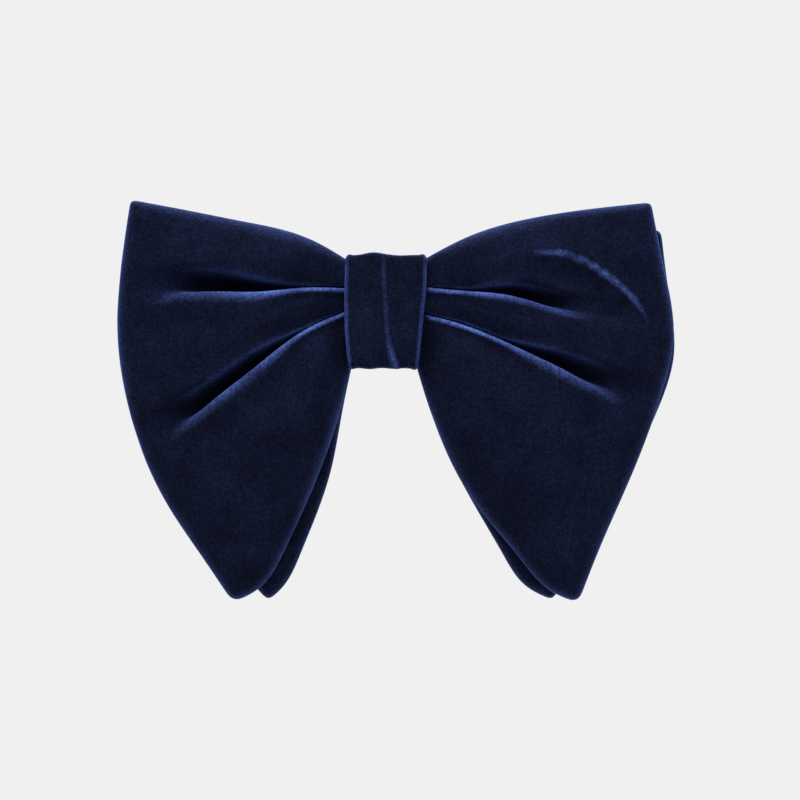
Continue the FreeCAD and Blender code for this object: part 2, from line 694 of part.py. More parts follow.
wing("back", "left", BACK_LEFT_TURN, WING_BACK)
wing("back", "right", BACK_RIGHT_TURN, WING_BACK)
wing("front", "left", NO_TURN, FRONT_WING)
wing("front", "right", NO_TURN, FRONT_WING)
waist_thread()
knot_padding()
knot_wrap()
stitch_row("knot_stitches", f"({KNOT_BACK} - {cell('stitch_height')})", cell("knot_stitch_count"))
right_band()
return_run()
left_band()
clasp_tail()
slider()
slider_loop()
TAIL_STITCH_ANGLE = f"({cell('hook_angle')} + {cell('stitch_reach')} / {STRAP_OUT} * 180 / pi)"
LOOP_STITCH_ANGLE = f"({cell('slider_angle')} + {cell('stitch_reach')} / {LOOP_OUT} * 180 / pi)"
stitch_row("slider_stitches", LOOP_OUT, cell("strap_stitch_count"), LOOP_STITCH_ANGLE)
stitch_row("tail_stitches", TAIL_OUT, cell("strap_stitch_count"), TAIL_STITCH_ANGLE)
eye()
hook()
doc.recompute()

for item in doc.Objects:
    if "Invalid" in item.State or "Error" in item.State:
        raise RuntimeError(f"{item.Label} failed to build: {item.State}")
pieces = [item for item in doc.Objects if item.TypeId == "PartDesign::Body"]
for piece in pieces:
    if piece.Shape.isNull() or not piece.Shape.isValid():
        raise RuntimeError(f"{piece.Label} has no valid solid")
os.makedirs("parts", exist_ok=True)
for piece in pieces:
    piece.Shape.exportStep(f"parts/{piece.Label}.step")
    box = piece.Shape.BoundBox
    print(f"{piece.Label:24s} {len(piece.Shape.Solids)} solids {piece.Shape.Volume:9.1f} mm3"
          f"  x {box.XMin:7.2f} {box.XMax:7.2f}  y {box.YMin:7.2f} {box.YMax:7.2f}"
          f"  z {box.ZMin:7.2f} {box.ZMax:7.2f}")
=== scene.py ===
"""The looks of a pre-tied velvet bow tie: draped wings, wrapped knot, satin neck band and fittings."""

import json
import math

import bpy
import numpy as np
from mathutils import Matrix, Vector, noise

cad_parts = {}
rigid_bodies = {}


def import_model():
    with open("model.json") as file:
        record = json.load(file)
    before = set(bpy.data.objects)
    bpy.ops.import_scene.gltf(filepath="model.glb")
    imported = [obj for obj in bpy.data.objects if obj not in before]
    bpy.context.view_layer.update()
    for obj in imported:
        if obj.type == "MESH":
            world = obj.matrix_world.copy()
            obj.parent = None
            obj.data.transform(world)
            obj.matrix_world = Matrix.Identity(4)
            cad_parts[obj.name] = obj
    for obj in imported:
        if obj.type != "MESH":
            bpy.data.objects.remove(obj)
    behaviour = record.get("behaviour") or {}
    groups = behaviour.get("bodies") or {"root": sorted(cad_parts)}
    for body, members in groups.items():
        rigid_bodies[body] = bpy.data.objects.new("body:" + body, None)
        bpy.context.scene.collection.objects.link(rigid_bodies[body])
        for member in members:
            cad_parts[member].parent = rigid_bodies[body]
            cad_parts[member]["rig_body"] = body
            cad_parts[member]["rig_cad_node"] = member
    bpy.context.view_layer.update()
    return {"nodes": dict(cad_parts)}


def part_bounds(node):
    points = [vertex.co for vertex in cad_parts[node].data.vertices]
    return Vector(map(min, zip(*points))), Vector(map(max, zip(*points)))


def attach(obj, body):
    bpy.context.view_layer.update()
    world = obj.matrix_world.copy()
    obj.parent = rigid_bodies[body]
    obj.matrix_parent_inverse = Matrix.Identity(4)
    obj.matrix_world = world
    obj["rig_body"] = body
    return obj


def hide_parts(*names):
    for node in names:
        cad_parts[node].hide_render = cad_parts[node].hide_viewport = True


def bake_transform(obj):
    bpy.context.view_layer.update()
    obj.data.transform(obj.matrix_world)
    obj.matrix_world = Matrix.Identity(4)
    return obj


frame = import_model()
MM = 0.001


def part_box(node):
    """A node's lowest and highest corners, in millimetres."""
    low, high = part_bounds(node)
    return low / MM, high / MM


# ------------ small helpers

def deselect_all():
    if bpy.context.mode != "OBJECT":
        bpy.ops.object.mode_set(mode="OBJECT")
    bpy.ops.object.select_all(action="DESELECT")


def make_active(piece):
    deselect_all()
    piece.select_set(True)
    bpy.context.view_layer.objects.active = piece


def apply_modifiers(piece):
    make_active(piece)
    for modifier in list(piece.modifiers):
        bpy.ops.object.modifier_apply(modifier=modifier.name)


def give(piece, material):
    piece.data.materials.clear()
    piece.data.materials.append(material)


def smooth_faces(piece):
    piece.data.polygons.foreach_set("use_smooth", [True] * len(piece.data.polygons))


def weld(piece, distance, cap_ends=False):
    """Join points closer than a distance, in metres, and face the surface outwards."""
    make_active(piece)
    bpy.ops.object.mode_set(mode="EDIT")
    bpy.ops.mesh.select_all(action="SELECT")
    bpy.ops.mesh.remove_doubles(threshold=distance)
    if cap_ends:
        bpy.ops.mesh.select_all(action="DESELECT")
        bpy.ops.mesh.select_non_manifold()
        bpy.ops.mesh.edge_face_add()
        bpy.ops.mesh.select_all(action="SELECT")
    bpy.ops.mesh.normals_make_consistent(inside=False)
    bpy.ops.object.mode_set(mode="OBJECT")


def join(pieces):
    """Make one object of several; the first keeps its name."""
    deselect_all()
    for piece in pieces:
        piece.select_set(True)
    bpy.context.view_layer.objects.active = pieces[0]
    bpy.ops.object.join()
    return bpy.context.object


def cloth_grid(name, places, uv):
    """A sheet from a block of points: rows across it and columns along it, in millimetres."""
    rows, columns, _ = places.shape
    deselect_all()
    bpy.ops.mesh.primitive_grid_add(x_subdivisions=columns - 1, y_subdivisions=rows - 1, size=1)
    piece = bpy.context.object
    piece.name = name
    piece.data.name = name
    piece.data.vertices.foreach_set("co", (places * MM).reshape(-1))
    corners = np.empty(len(piece.data.loops), dtype=np.int64)
    piece.data.loops.foreach_get("vertex_index", corners)
    flat = uv.reshape(-1, 2)[corners] * MM
    piece.data.uv_layers.active.data.foreach_set("uv", flat.reshape(-1))
    piece.data.update()
    return piece


def unit(vectors):
    return vectors / np.maximum(np.linalg.norm(vectors, axis=-1, keepdims=True), 1e-9)


def square_to(steps):
    """Unit directions in the plane at right angles to steps, on their right."""
    steps = unit(steps)
    return np.stack([steps[:, 1], -steps[:, 0]], axis=1)


def lengths_along(line):
    """How far along a line each of its points is."""
    return np.concatenate([[0], np.cumsum(np.linalg.norm(np.diff(line, axis=0), axis=1))])


def through(points, places):
    """Points on a smooth line through a few given ones. places run from 0 to 1 along it."""
    points = np.array(points, float)
    count = len(points)
    knots = lengths_along(points)
    knots /= knots[-1]
    gaps = np.diff(knots)
    system = np.zeros((count, count))
    slopes = np.zeros((count, points.shape[1]))
    system[0, 0] = system[-1, -1] = 1
    for index in range(1, count - 1):
        system[index, index - 1] = gaps[index - 1]
        system[index, index] = 2 * (gaps[index - 1] + gaps[index])
        system[index, index + 1] = gaps[index]
        after = (points[index + 1] - points[index]) / gaps[index]
        before = (points[index] - points[index - 1]) / gaps[index - 1]
        slopes[index] = 6 * (after - before)
    bend = np.linalg.solve(system, slopes)
    places = np.clip(np.asarray(places, float), 0, 1)
    span = np.clip(np.searchsorted(knots, places, side="right") - 1, 0, count - 2)
    gap = gaps[span][..., None]
    right = ((places - knots[span]) / gaps[span])[..., None]
    left = 1 - right
    return (
        left * points[span] + right * points[span + 1]
        + gap ** 2 / 6 * ((left ** 3 - left) * bend[span] + (right ** 3 - right) * bend[span + 1])
    )


def ease(low, high, x):
    """0 below low, 1 above high and smooth between."""
    t = np.clip((np.asarray(x, float) - low) / (high - low), 0, 1)
    return t * t * (3 - 2 * t)


def hump(distance, height, width, at=0.0):
    """A rounded rise of a height and width, highest at a given distance."""
    return height * np.exp(-((distance - at) / width) ** 2)


# ------------ materials

def new_material(name):
    material = bpy.data.materials.new(name)
    material.use_nodes = True
    nodes = material.node_tree.nodes
    nodes.clear()
    output = nodes.new("ShaderNodeOutputMaterial")
    shader = nodes.new("ShaderNodeBsdfPrincipled")
    material.node_tree.links.new(shader.outputs["BSDF"], output.inputs["Surface"])
    return material, nodes, material.node_tree.links, shader


def set_inputs(node, values):
    for label, value in values.items():
        node.inputs[label].default_value = value


def noise_texture(nodes, links, coordinates, scale, detail, roughness):
    texture = nodes.new("ShaderNodeTexNoise")
    set_inputs(texture, {"Scale": scale, "Detail": detail, "Roughness": roughness})
    links.new(coordinates, texture.inputs["Vector"])
    return texture


def ramp(nodes, links, factor, stops):
    """A colour ramp with the given (position, colour) stops."""
    node = nodes.new("ShaderNodeValToRGB")
    for position, _ in stops[2:]:
        node.color_ramp.elements.new(position)
    for stop, (position, colour) in zip(node.color_ramp.elements, stops):
        stop.position = position
        stop.color = (*colour, 1)
    links.new(factor, node.inputs["Fac"])
    return node.outputs["Color"]


def mix(nodes, links, factor, first, second, blend="MIX"):
    """Blend two colours. factor is a number or a socket."""
    node = nodes.new("ShaderNodeMix")
    node.data_type = "RGBA"
    node.blend_type = blend
    if isinstance(factor, float):
        node.inputs["Factor"].default_value = factor
    else:
        links.new(factor, node.inputs["Factor"])
    links.new(first, node.inputs["A"])
    links.new(second, node.inputs["B"])
    return node.outputs["Result"]


def add_bump(nodes, links, shader, height, strength, distance):
    bump = nodes.new("ShaderNodeBump")
    set_inputs(bump, {"Strength": strength, "Distance": distance * MM})
    links.new(height, bump.inputs["Height"])
    links.new(bump.outputs["Normal"], shader.inputs["Normal"])
    return bump.outputs["Normal"]


def shade_note(nodes, label):
    """What add_shade noted on the cloth under a label."""
    note = nodes.new("ShaderNodeAttribute")
    note.attribute_name = label
    return note.outputs["Fac"]


def velvet_material():
    """Dark blue cut pile: brushed patches, a speckle of tufts, painted sheen where it turns from view,
    painted shade in fold floors and a painted highlight on crests and creases.
    """
    material, nodes, links, shader = new_material("velvet")
    place = nodes.new("ShaderNodeTexCoord").outputs["Object"]
    brushed = noise_texture(nodes, links, place, 95, 4.0, 0.6)
    tufts = noise_texture(nodes, links, place, 1300, 2.0, 0.7)
    normal = add_bump(nodes, links, shader, tufts.outputs["Fac"], 0.6, 0.3)
    # Painted sheen: the base colour turns lighter blue where the surface faces away from the view, on
    # top of the shader's own sheen.
    turned = nodes.new("ShaderNodeLayerWeight")
    turned.inputs["Blend"].default_value = 0.5
    links.new(normal, turned.inputs["Normal"])
    colour = ramp(nodes, links, turned.outputs["Facing"], (
        (0.24, (0.0020, 0.0034, 0.0128)), (0.66, (0.0072, 0.0124, 0.0450)),
        (0.97, (0.0270, 0.0490, 0.1750)),
    ))
    # Painted shade: the base colour is darker in the fold floors.
    floor_painted_shade = ramp(nodes, links, shade_note(nodes, "painted_shade_in_folds"), (
        (0.40, (1.0, 1.0, 1.0)), (0.95, (0.56, 0.54, 0.52)),
    ))
    # Painted highlight: the base colour is lighter on fold crests, tall creases and the knot's fold and
    # rims.
    crest_painted_highlight = ramp(nodes, links, shade_note(nodes, "painted_highlight_on_crests"), (
        (0.15, (0.0, 0.0, 0.0)), (0.90, (0.0300, 0.0520, 0.1800)),
    ))
    patches = ramp(nodes, links, brushed.outputs["Fac"], (
        (0.32, (0.62, 0.62, 0.66)), (0.70, (1.35, 1.35, 1.30)),
    ))
    speckle = ramp(nodes, links, tufts.outputs["Fac"], (
        (0.36, (0.45, 0.45, 0.50)), (0.68, (2.0, 1.9, 1.7)),
    ))
    colour = mix(nodes, links, 1.0, colour, floor_painted_shade, "MULTIPLY")
    colour = mix(nodes, links, 1.0, colour, crest_painted_highlight, "ADD")
    colour = mix(nodes, links, 1.0, colour, patches, "MULTIPLY")
    colour = mix(nodes, links, 0.85, colour, speckle, "MULTIPLY")
    links.new(colour, shader.inputs["Base Color"])
    set_inputs(shader, {
        "Roughness": 0.95, "Specular IOR Level": 0.05, "Sheen Weight": 0.25,
        "Sheen Roughness": 0.3, "Sheen Tint": (0.14, 0.26, 1.0, 1),
    })
    return material


def ribbon_material():
    """Corded ribbon: fine ribs across it with a fine yarn grain."""
    material, nodes, links, shader = new_material("band_ribbon")
    place = nodes.new("ShaderNodeUVMap").outputs["UV"]
    ribs = nodes.new("ShaderNodeTexWave")
    ribs.bands_direction = "X"
    set_inputs(ribs, {"Scale": 420, "Distortion": 0.4, "Detail": 2.0})
    links.new(place, ribs.inputs["Vector"])
    yarn = noise_texture(nodes, links, place, 2400, 2.0, 0.6)
    add_bump(nodes, links, shader, mix(
        nodes, links, 0.25, ribs.outputs["Color"], yarn.outputs["Color"]
    ), 0.7, 0.12)
    shade = ramp(nodes, links, ribs.outputs["Fac"], (
        (0.1, (0.0025, 0.0045, 0.0190)), (0.9, (0.0070, 0.0120, 0.0500)),
    ))
    links.new(shade, shader.inputs["Base Color"])
    set_inputs(shader, {"Roughness": 0.55, "Specular IOR Level": 0.10})
    return material


def lining_material():
    """Smooth satin with fine slanting weave lines and a soft gloss."""
    material, nodes, links, shader = new_material("lining_satin")
    place = nodes.new("ShaderNodeUVMap").outputs["UV"]
    weave = nodes.new("ShaderNodeTexWave")
    weave.bands_direction = "DIAGONAL"
    set_inputs(weave, {"Scale": 700, "Distortion": 0.5})
    links.new(place, weave.inputs["Vector"])
    clouds = noise_texture(nodes, links, place, 60, 3.0, 0.5)
    add_bump(nodes, links, shader, weave.outputs["Fac"], 0.35, 0.05)
    shade = ramp(nodes, links, clouds.outputs["Fac"], (
        (0.3, (0.0040, 0.0070, 0.0300)), (0.7, (0.0070, 0.0120, 0.0520)),
    ))
    links.new(shade, shader.inputs["Base Color"])
    set_inputs(shader, {"Roughness": 0.42, "Anisotropic": 0.5, "Specular IOR Level": 0.12})
    return material


def plain_cloth(name, dark, light, scale):
    """A matt cloth or thread with slight changes of shade."""
    material, nodes, links, shader = new_material(name)
    place = nodes.new("ShaderNodeTexCoord").outputs["Object"]
    fibres = noise_texture(nodes, links, place, scale, 3.0, 0.6)
    add_bump(nodes, links, shader, fibres.outputs["Fac"], 0.5, 0.1)
    links.new(ramp(nodes, links, fibres.outputs["Fac"], ((0.3, dark), (0.7, light))),
              shader.inputs["Base Color"])
    shader.inputs["Roughness"].default_value = 0.85
    return material


def nickel_material():
    """Bright nickel plate, a little uneven in its polish, with fine handling marks."""
    material, nodes, links, shader = new_material("nickel_plate")
    place = nodes.new("ShaderNodeTexCoord").outputs["Object"]
    polish = noise_texture(nodes, links, place, 420, 4.0, 0.6)
    gloss = nodes.new("ShaderNodeMapRange")
    set_inputs(gloss, {"To Min": 0.18, "To Max": 0.38})
    links.new(polish.outputs["Fac"], gloss.inputs["Value"])
    links.new(gloss.outputs["Result"], shader.inputs["Roughness"])
    add_bump(nodes, links, shader, polish.outputs["Fac"], 0.12, 0.05)
    set_inputs(shader, {"Base Color": (0.50, 0.48, 0.45, 1), "Metallic": 1.0})
    return material


VELVET = velvet_material()
RIBBON = ribbon_material()
LINING = lining_material()
CANVAS = plain_cloth("interlining_canvas", (0.010, 0.012, 0.022), (0.030, 0.034, 0.055), 900)
THREAD = plain_cloth("sewing_thread", (0.004, 0.005, 0.014), (0.012, 0.015, 0.04), 3000)
NICKEL = nickel_material()


# ------------ wings

# Each wing hangs from the knot between four lines that fan out from it: its top edge, two folds
# and its inner edge. Points are out from the middle and up from the knot's centre, in mm.
WING_LINES = {
    "left": {
        "top": [(9.4, 13.0), (21.3, 19.7), (39.0, 24.3), (54.0, 27.3)],
        "upper_fold": [(9.4, 5.7), (21.3, 5.9), (35.3, 4.8), (55.0, 5.8)],
        "lower_fold": [(9.4, 0.2), (22.4, -5.7), (32.0, -12.7), (49.3, -25.4)],
        "inner": [(9.2, -13.6), (12.4, -26.7), (18.4, -43.9), (27.9, -64.9), (34.0, -74.0)],
        "outer": [(69.4, 30.2), (71.9, 13.0), (73.0, -5.0), (70.4, -24.0), (60.0, -50.9),
                  (50.6, -65.0), (41.6, -78.2)],
        "fold_ends": (0.215, 0.56),
    },
    "right": {
        "top": [(9.4, 13.6), (22.9, 20.5), (39.5, 25.2), (57.0, 27.9)],
        "upper_fold": [(9.4, 6.2), (20.2, 5.1), (32.0, 4.0), (47.0, 0.5)],
        "lower_fold": [(9.4, -1.1), (15.9, -2.6), (33.7, -9.4), (55.0, -18.5)],
        "inner": [(7.7, -13.8), (11.9, -27.2), (22.3, -49.3), (35.6, -66.0), (43.8, -74.8)],
        "outer": [(71.6, 29.5), (75.3, 11.0), (77.8, -5.0), (74.7, -21.3), (66.8, -42.8),
                  (57.3, -64.4), (51.8, -78.4)],
        "fold_ends": (0.28, 0.47),
    },
}
# The back wings hang a little inwards of the front ones and are a little shorter.
BACK_INNER = {
    "left": [(9.2, -13.6), (12.4, -26.7), (18.9, -43.9), (30.9, -65.4), (37.3, -75.0)],
    "right": WING_LINES["right"]["inner"],
}
BACK_TURN = {"left": 7.0, "right": 5.0}
BACK_DROP = 0.94
BACK_SPREAD = {"left": -2.4, "right": 1.3}
BACK_SPREAD_FROM = (45, 70)
BACK_LEAVES = {"left": (18, 62), "right": (46, 84)}
# The pile stands this much past the lines, out and up.
SPREAD = np.array([1.008, 1.014])
COLUMNS = 96
MEAN_LENGTH = 68.0
EDGE_STEPS = np.array([0.0, 0.12, 0.45, 1.0, 1.8, 3.0])
EDGE_PULL = 2.2
FOLD_ROWS = 22


def hang(points, side, layer):
    """The points as they are on a front wing, or swung in and shortened as on a back wing."""
    points = np.array(points, float) * SPREAD
    if layer == "front":
        return points
    turn = math.radians(BACK_TURN[side])
    out = points[:, 0]
    up = points[:, 1] * BACK_DROP
    turned = np.stack([
        out * math.cos(turn) + up * math.sin(turn),
        up * math.cos(turn) - out * math.sin(turn),
    ], axis=1)
    turned[:, 0] += BACK_SPREAD[side] * ease(*BACK_SPREAD_FROM, turned[:, 0])
    keep = ease(*BACK_LEAVES[side], np.hypot(out, up))[:, None]
    return points * (1 - keep) + turned * keep


class Wing:
    """One wing's plan: where a point lies, given how far along it is and which lines it is between."""

    def __init__(self, side, layer):
        lines = WING_LINES[side]
        self.side = side
        self.layer = layer
        self.outer_line = hang(lines["outer"], side, layer)
        first, second = lines["fold_ends"]
        self.ends = np.array([0.0, first, second, 1.0])
        ends_at = through(self.outer_line, self.ends)
        inner = lines["inner"] if layer == "front" else BACK_INNER[side]
        rails = (lines["top"], lines["upper_fold"], lines["lower_fold"], inner)
        self.rails = [
            np.vstack([hang(rail, side, layer), end]) for rail, end in zip(rails, ends_at)
        ]
        self.along = self.spread_columns()
        self.rail_places = np.stack([through(rail, self.along) for rail in self.rails])
        self.widths = np.linalg.norm(np.diff(self.rail_places, axis=0), axis=2)

    def spread_columns(self):
        """Columns from the knot to the outer edge, close together where the edge rolls back."""
        rolled = 1 - EDGE_STEPS[::-1] / MEAN_LENGTH
        steady = np.linspace(0, rolled[0], COLUMNS - len(rolled) + 1)[:-1]
        return np.concatenate([steady, rolled])

    def plan(self, across):
        """Plan places for rows given as line numbers, 0 at the top edge to 3 at the inner edge."""
        lobe = np.clip(np.floor(across).astype(int), 0, 2)
        share = across - lobe
        column = np.arange(len(self.along))[None, :].repeat(across.shape[0], axis=0)
        start = self.rail_places[lobe, column]
        stop = self.rail_places[lobe + 1, column]
        straight = start + (stop - start) * share[..., None]
        edge_share = self.ends[lobe] + (self.ends[lobe + 1] - self.ends[lobe]) * np.clip(share, 0, 1)
        edge = through(self.outer_line, edge_share)
        corners = through(self.outer_line, self.ends)
        sides = corners[lobe + 1] - corners[lobe]
        chord = corners[lobe] + sides * np.clip(share, 0, 1)[..., None]
        pull = (self.along ** EDGE_PULL)[None, :, None]
        return straight + (edge - chord) * pull


def spline_weights(rows, controls):
    """Weights of a clamped cubic spline's control points at evenly spaced rows."""
    knots = np.concatenate([np.zeros(3), np.linspace(0, 1, controls - 2), np.ones(3)])
    places = np.linspace(0, 1, rows)
    places[-1] = 1 - 1e-9
    weights = [
        ((places >= knots[i]) & (places < knots[i + 1])).astype(float)
        for i in range(len(knots) - 1)
    ]
    for degree in (1, 2, 3):
        for i in range(len(knots) - 1 - degree):
            rise = knots[i + degree] - knots[i]
            drop = knots[i + degree + 1] - knots[i + 1]
            left = (places - knots[i]) / rise * weights[i] if rise else 0
            right = (knots[i + degree + 1] - places) / drop * weights[i + 1] if drop else 0
            weights[i] = left + right
    return np.stack(weights[:controls], axis=1)


# Each fold, upper then lower: its depth, how far along the wing (0 to 1) it opens and softens, and
# how far its open floor reaches, in mm.
FOLDS = {
    "left": (
        {"depth": 1.0, "opens": (0.16, 0.58), "softens": (0.48, 0.98), "reach": 6.3},
        {"depth": 1.0, "opens": (0.16, 0.52), "softens": (0.56, 0.99), "reach": 5.6},
    ),
    "right": (
        {"depth": 0.9, "opens": (0.14, 0.45), "softens": (0.32, 0.74), "reach": 4.6},
        {"depth": 0.95, "opens": (0.28, 0.64), "softens": (0.52, 0.99), "reach": 5.2},
    ),
}
LAYER_FULLNESS = {"front": 1.0, "back": 0.35}
# A fold of depth 1: at the knot, and what is added further out, in mm.
DEEP_AT_KNOT, DEEP_ADDED, DEEPENS = 1.0, 5.2, (0.06, 0.34)
RIM_AT_KNOT, RIM_ADDED, RIM_RISES = 0.8, 1.2, (0.05, 0.3)
LIP_HEIGHT, LIP_RISES = 1.1, (0.08, 0.2)
TUCK_UNDER = 2.2
CLOSED_REACH = 0.9
FALL_CLOSED, FALL_OPENED, FALL_SOFT = 2.6, 6.0, 3.0
# The most of the lobe above and of the lobe below that a fold may take.
MOST_ABOVE, MOST_BELOW = 0.36, 0.40
SOFTEST = 0.93
# How much painted shade each control point of fold_profile gives the floor, and how much painted
# highlight it gives a crest.
FLOOR_PAINTED_SHADE_SHARES = [0, 0, 0.1, 0.75, 1, 1, 1, 1, 0.85, 0.2, 0, 0, 0, 0]
CREST_PAINTED_HIGHLIGHT_SHARES = [0, 0.2, 0.55, 0.4, 0, 0, 0, 0, 0.5, 1.5, 0.75, 0, 0, 0]
# A fold's painted crest highlight is this much weaker where the fold has opened.
OPEN_CREST_HIGHLIGHT_LOSS = 0.45


def fold_profile(wing, line):
    """The path of the cloth across one fold, from the lobe above it to the lobe below.

    Returns how far each row is across the fold (up is positive), how far forward, in mm, how much
    painted shade it gets in the fold's floor and how much painted highlight near its crest, from 0 to
    1.
    """
    along = wing.along
    fold = FOLDS[wing.side][line - 1]
    strength = fold["depth"] * LAYER_FULLNESS[wing.layer]
    opened = ease(*fold["opens"], along)
    soft = ease(*fold["softens"], along)
    fade = 1 - SOFTEST * soft
    deep = strength * (DEEP_AT_KNOT + DEEP_ADDED * ease(*DEEPENS, along)) * fade
    lip = strength * LIP_HEIGHT * ease(*LIP_RISES, along) * fade
    rim = strength * (RIM_AT_KNOT + RIM_ADDED * ease(*RIM_RISES, along)) * fade
    tuck = strength * TUCK_UNDER * (1 - soft)
    reach = np.minimum(CLOSED_REACH + fold["reach"] * opened, wing.widths[line - 1] * MOST_ABOVE)
    fall = np.minimum(
        FALL_CLOSED + FALL_OPENED * opened + FALL_SOFT * soft, wing.widths[line] * MOST_BELOW
    )
    path = [
        # off the lobe above, over its lip
        (reach * 1.35, 0), (reach * 1.05, lip * 0.7), (reach * 0.86, lip),
        # down the wall and along the floor
        (reach * 0.70, -deep * 0.5), (reach * 0.45, -deep * 0.95), (reach * 0.10, -deep),
        # tucked in under the lobe below, and up round its rim
        (-tuck * 0.8, -deep * 1.1), (-tuck * 0.5, -deep * 0.75), (0.2, -deep * 0.35),
        (0.35, rim * 0.8), (-0.6, rim * 1.3),
        # down on to the lobe below
        (-fall * 0.45, rim * 0.85), (-fall * 0.75, rim * 0.25), (-fall, 0),
    ]
    level = along * 0
    places = np.stack([place + level for place, _ in path])
    heights = np.stack([height + level for _, height in path])
    even = np.linspace(1, 0, len(path))[:, None] * (places[0] - places[-1]) + places[-1]
    places = places * (1 - soft) + even * soft
    weights = spline_weights(FOLD_ROWS, len(path))
    # Painted shade in the fold's floor and painted highlight on the lip above and the rim below, both
    # fading out along the wing.
    inside = (weights @ FLOOR_PAINTED_SHADE_SHARES)[:, None] * (fade * ease(0.10, 0.22, along))[None, :]
    bright = fade * (1 - OPEN_CREST_HIGHLIGHT_LOSS * opened) * ease(0.0, 0.05, along)
    crest = (weights @ CREST_PAINTED_HIGHLIGHT_SHARES)[:, None] * bright[None, :]
    return weights @ places, weights @ heights, inside, crest


# The cloth rolls back this far, in mm, over the last ROLL_WIDTH of its edge.
ROLL_DEPTH = 3.6
ROLL_WIDTH = 3.0


def roll(distance):
    """How far back the cloth has turned at a distance from its edge."""
    t = 1 - np.clip(distance / ROLL_WIDTH, 0, 1)
    return -ROLL_DEPTH * (1 - np.sqrt(np.maximum(0, 1 - t ** 2)))


# Rows across the three lobes, and the most of a lobe's width that its rolled edge may take.
LOBE_ROWS = (9, 11, 16)
MOST_ROLLED = 0.30


def wing_rows(wing):
    """All rows of the velvet from the top edge to the inner edge.

    Returns line numbers, heights in mm and how much painted shade of a fold's floor and painted
    highlight of a crest each point gets.
    """
    widths = wing.widths
    level = np.zeros(len(wing.along))
    across, height, inside, crest = [], [], [], []

    def add_level_row(line_number):
        across.append(line_number)
        for amounts in (height, inside, crest):
            amounts.append(level)

    def add_lobe(stop, count):
        start = across[-1]
        for share in np.linspace(0, 1, count + 2)[1:-1]:
            add_level_row(start + (stop - start) * share)

    for step in EDGE_STEPS:
        add_level_row(np.minimum(step / widths[0], MOST_ROLLED))
    for line in (1, 2):
        shift, forward, floor, top = fold_profile(wing, line)
        rows = line - np.where(shift > 0, shift / widths[line - 1], shift / widths[line])
        add_lobe(rows[0], LOBE_ROWS[line - 1])
        across.extend(rows)
        height.extend(forward)
        inside.extend(floor)
        crest.extend(top)
    add_lobe(3 - np.minimum(EDGE_STEPS[-1] / widths[2], MOST_ROLLED), LOBE_ROWS[2])
    for step in EDGE_STEPS[::-1]:
        add_level_row(3 - np.minimum(step / widths[2], MOST_ROLLED))
    return np.array(across), np.array(height), np.array(inside), np.array(crest)


# How far the three lobes bulge, from the top one down, and how far the whole wing does, in mm.
LOBE_CROWN = (2.4, 3.2, 3.2)
PUFF, PUFF_REACH = 4.2, 8.0
CLOTH = 1.2
# Farther than any point is from an edge, for points whose lobe does not touch that edge.
FAR_OFF = 99


def crown(wing, across):
    """The soft bulge of each lobe between its two lines."""
    lobe = np.clip(np.floor(across).astype(int), 0, 2)
    share = np.clip(across - lobe, 0, 1)
    arch = np.sin(np.pi * share ** 0.85) ** 0.9
    along = wing.along[None, :]
    swell = ease(0.0, 0.28, along) * (1 - 0.9 * ease(0.35, 1.0, along))
    return np.array(LOBE_CROWN)[lobe] * arch * swell


def edge_distances(wing, across, places):
    """How far each point is from the wing's top edge, inner edge and outer edge, in mm."""
    top = across * wing.widths[0][None, :]
    inner = (3 - across) * wing.widths[2][None, :]
    outer = np.linalg.norm(places - places[:, -1:, :], axis=2)
    return np.where(across < 1, top, FAR_OFF), np.where(across > 2, inner, FAR_OFF), outer


def ripple(out, up, seed):
    """Slight unevenness of hanging cloth, between about -1 and 1."""
    waves = np.empty(out.shape)
    for spot, where in zip(np.ndindex(out.shape), zip(out.flat, up.flat)):
        place = Vector((where[0] * 0.035, where[1] * 0.05, seed))
        waves[spot] = noise.noise(place) + 0.5 * noise.noise(place * 2.3)
    return waves


def round_corner(places, first, second, radius, at_start):
    """Round the outer corner between two edges; first and second are distances from them."""
    a = np.clip(1 - first / radius, 0, 1)
    b = np.clip(1 - second / radius, 0, 1)
    reach = np.sqrt(a ** 2 + b ** 2)
    share = np.where((a > 0) & (b > 0), np.maximum(a, b) / np.maximum(reach, 1e-6), 1.0)
    rows = unit(np.gradient(places, axis=0))
    columns = unit(np.gradient(places, axis=1))
    inward = rows if at_start else -rows
    move = radius * a * (1 - share)
    slide = radius * b * (1 - share)
    return places + inward * move[..., None] - columns * slide[..., None]


# Loose creases across each wing: a line of points, how tall they stand and how wide, in mm.
CREASES = {
    "left": (
        ([(24.0, 9.5), (36.0, 12.5), (50.0, 15.5), (62.0, 17.0)], 0.7, 3.0),
        ([(24.0, -22.0), (38.0, -36.0), (48.0, -52.0)], 0.6, 5.0),
    ),
    "right": (
        ([(38.0, 15.9), (47.1, 15.3), (52.5, 13.7), (59.5, 9.4), (66.0, 4.0), (71.0, -3.0)], 1.5, 2.2),
        ([(40.0, 11.5), (50.0, 8.0), (58.0, 2.0), (64.0, -5.0)], -0.9, 3.0),
        ([(26.0, -22.0), (42.0, -34.0), (52.0, -52.0)], 0.6, 5.0),
    ),
}
# Creases taller than this get a painted highlight of this height and width along their crest.
SHARP_CREASE = 1.0
CREASE_SHINE = {"height": 0.8, "width": 0.9}


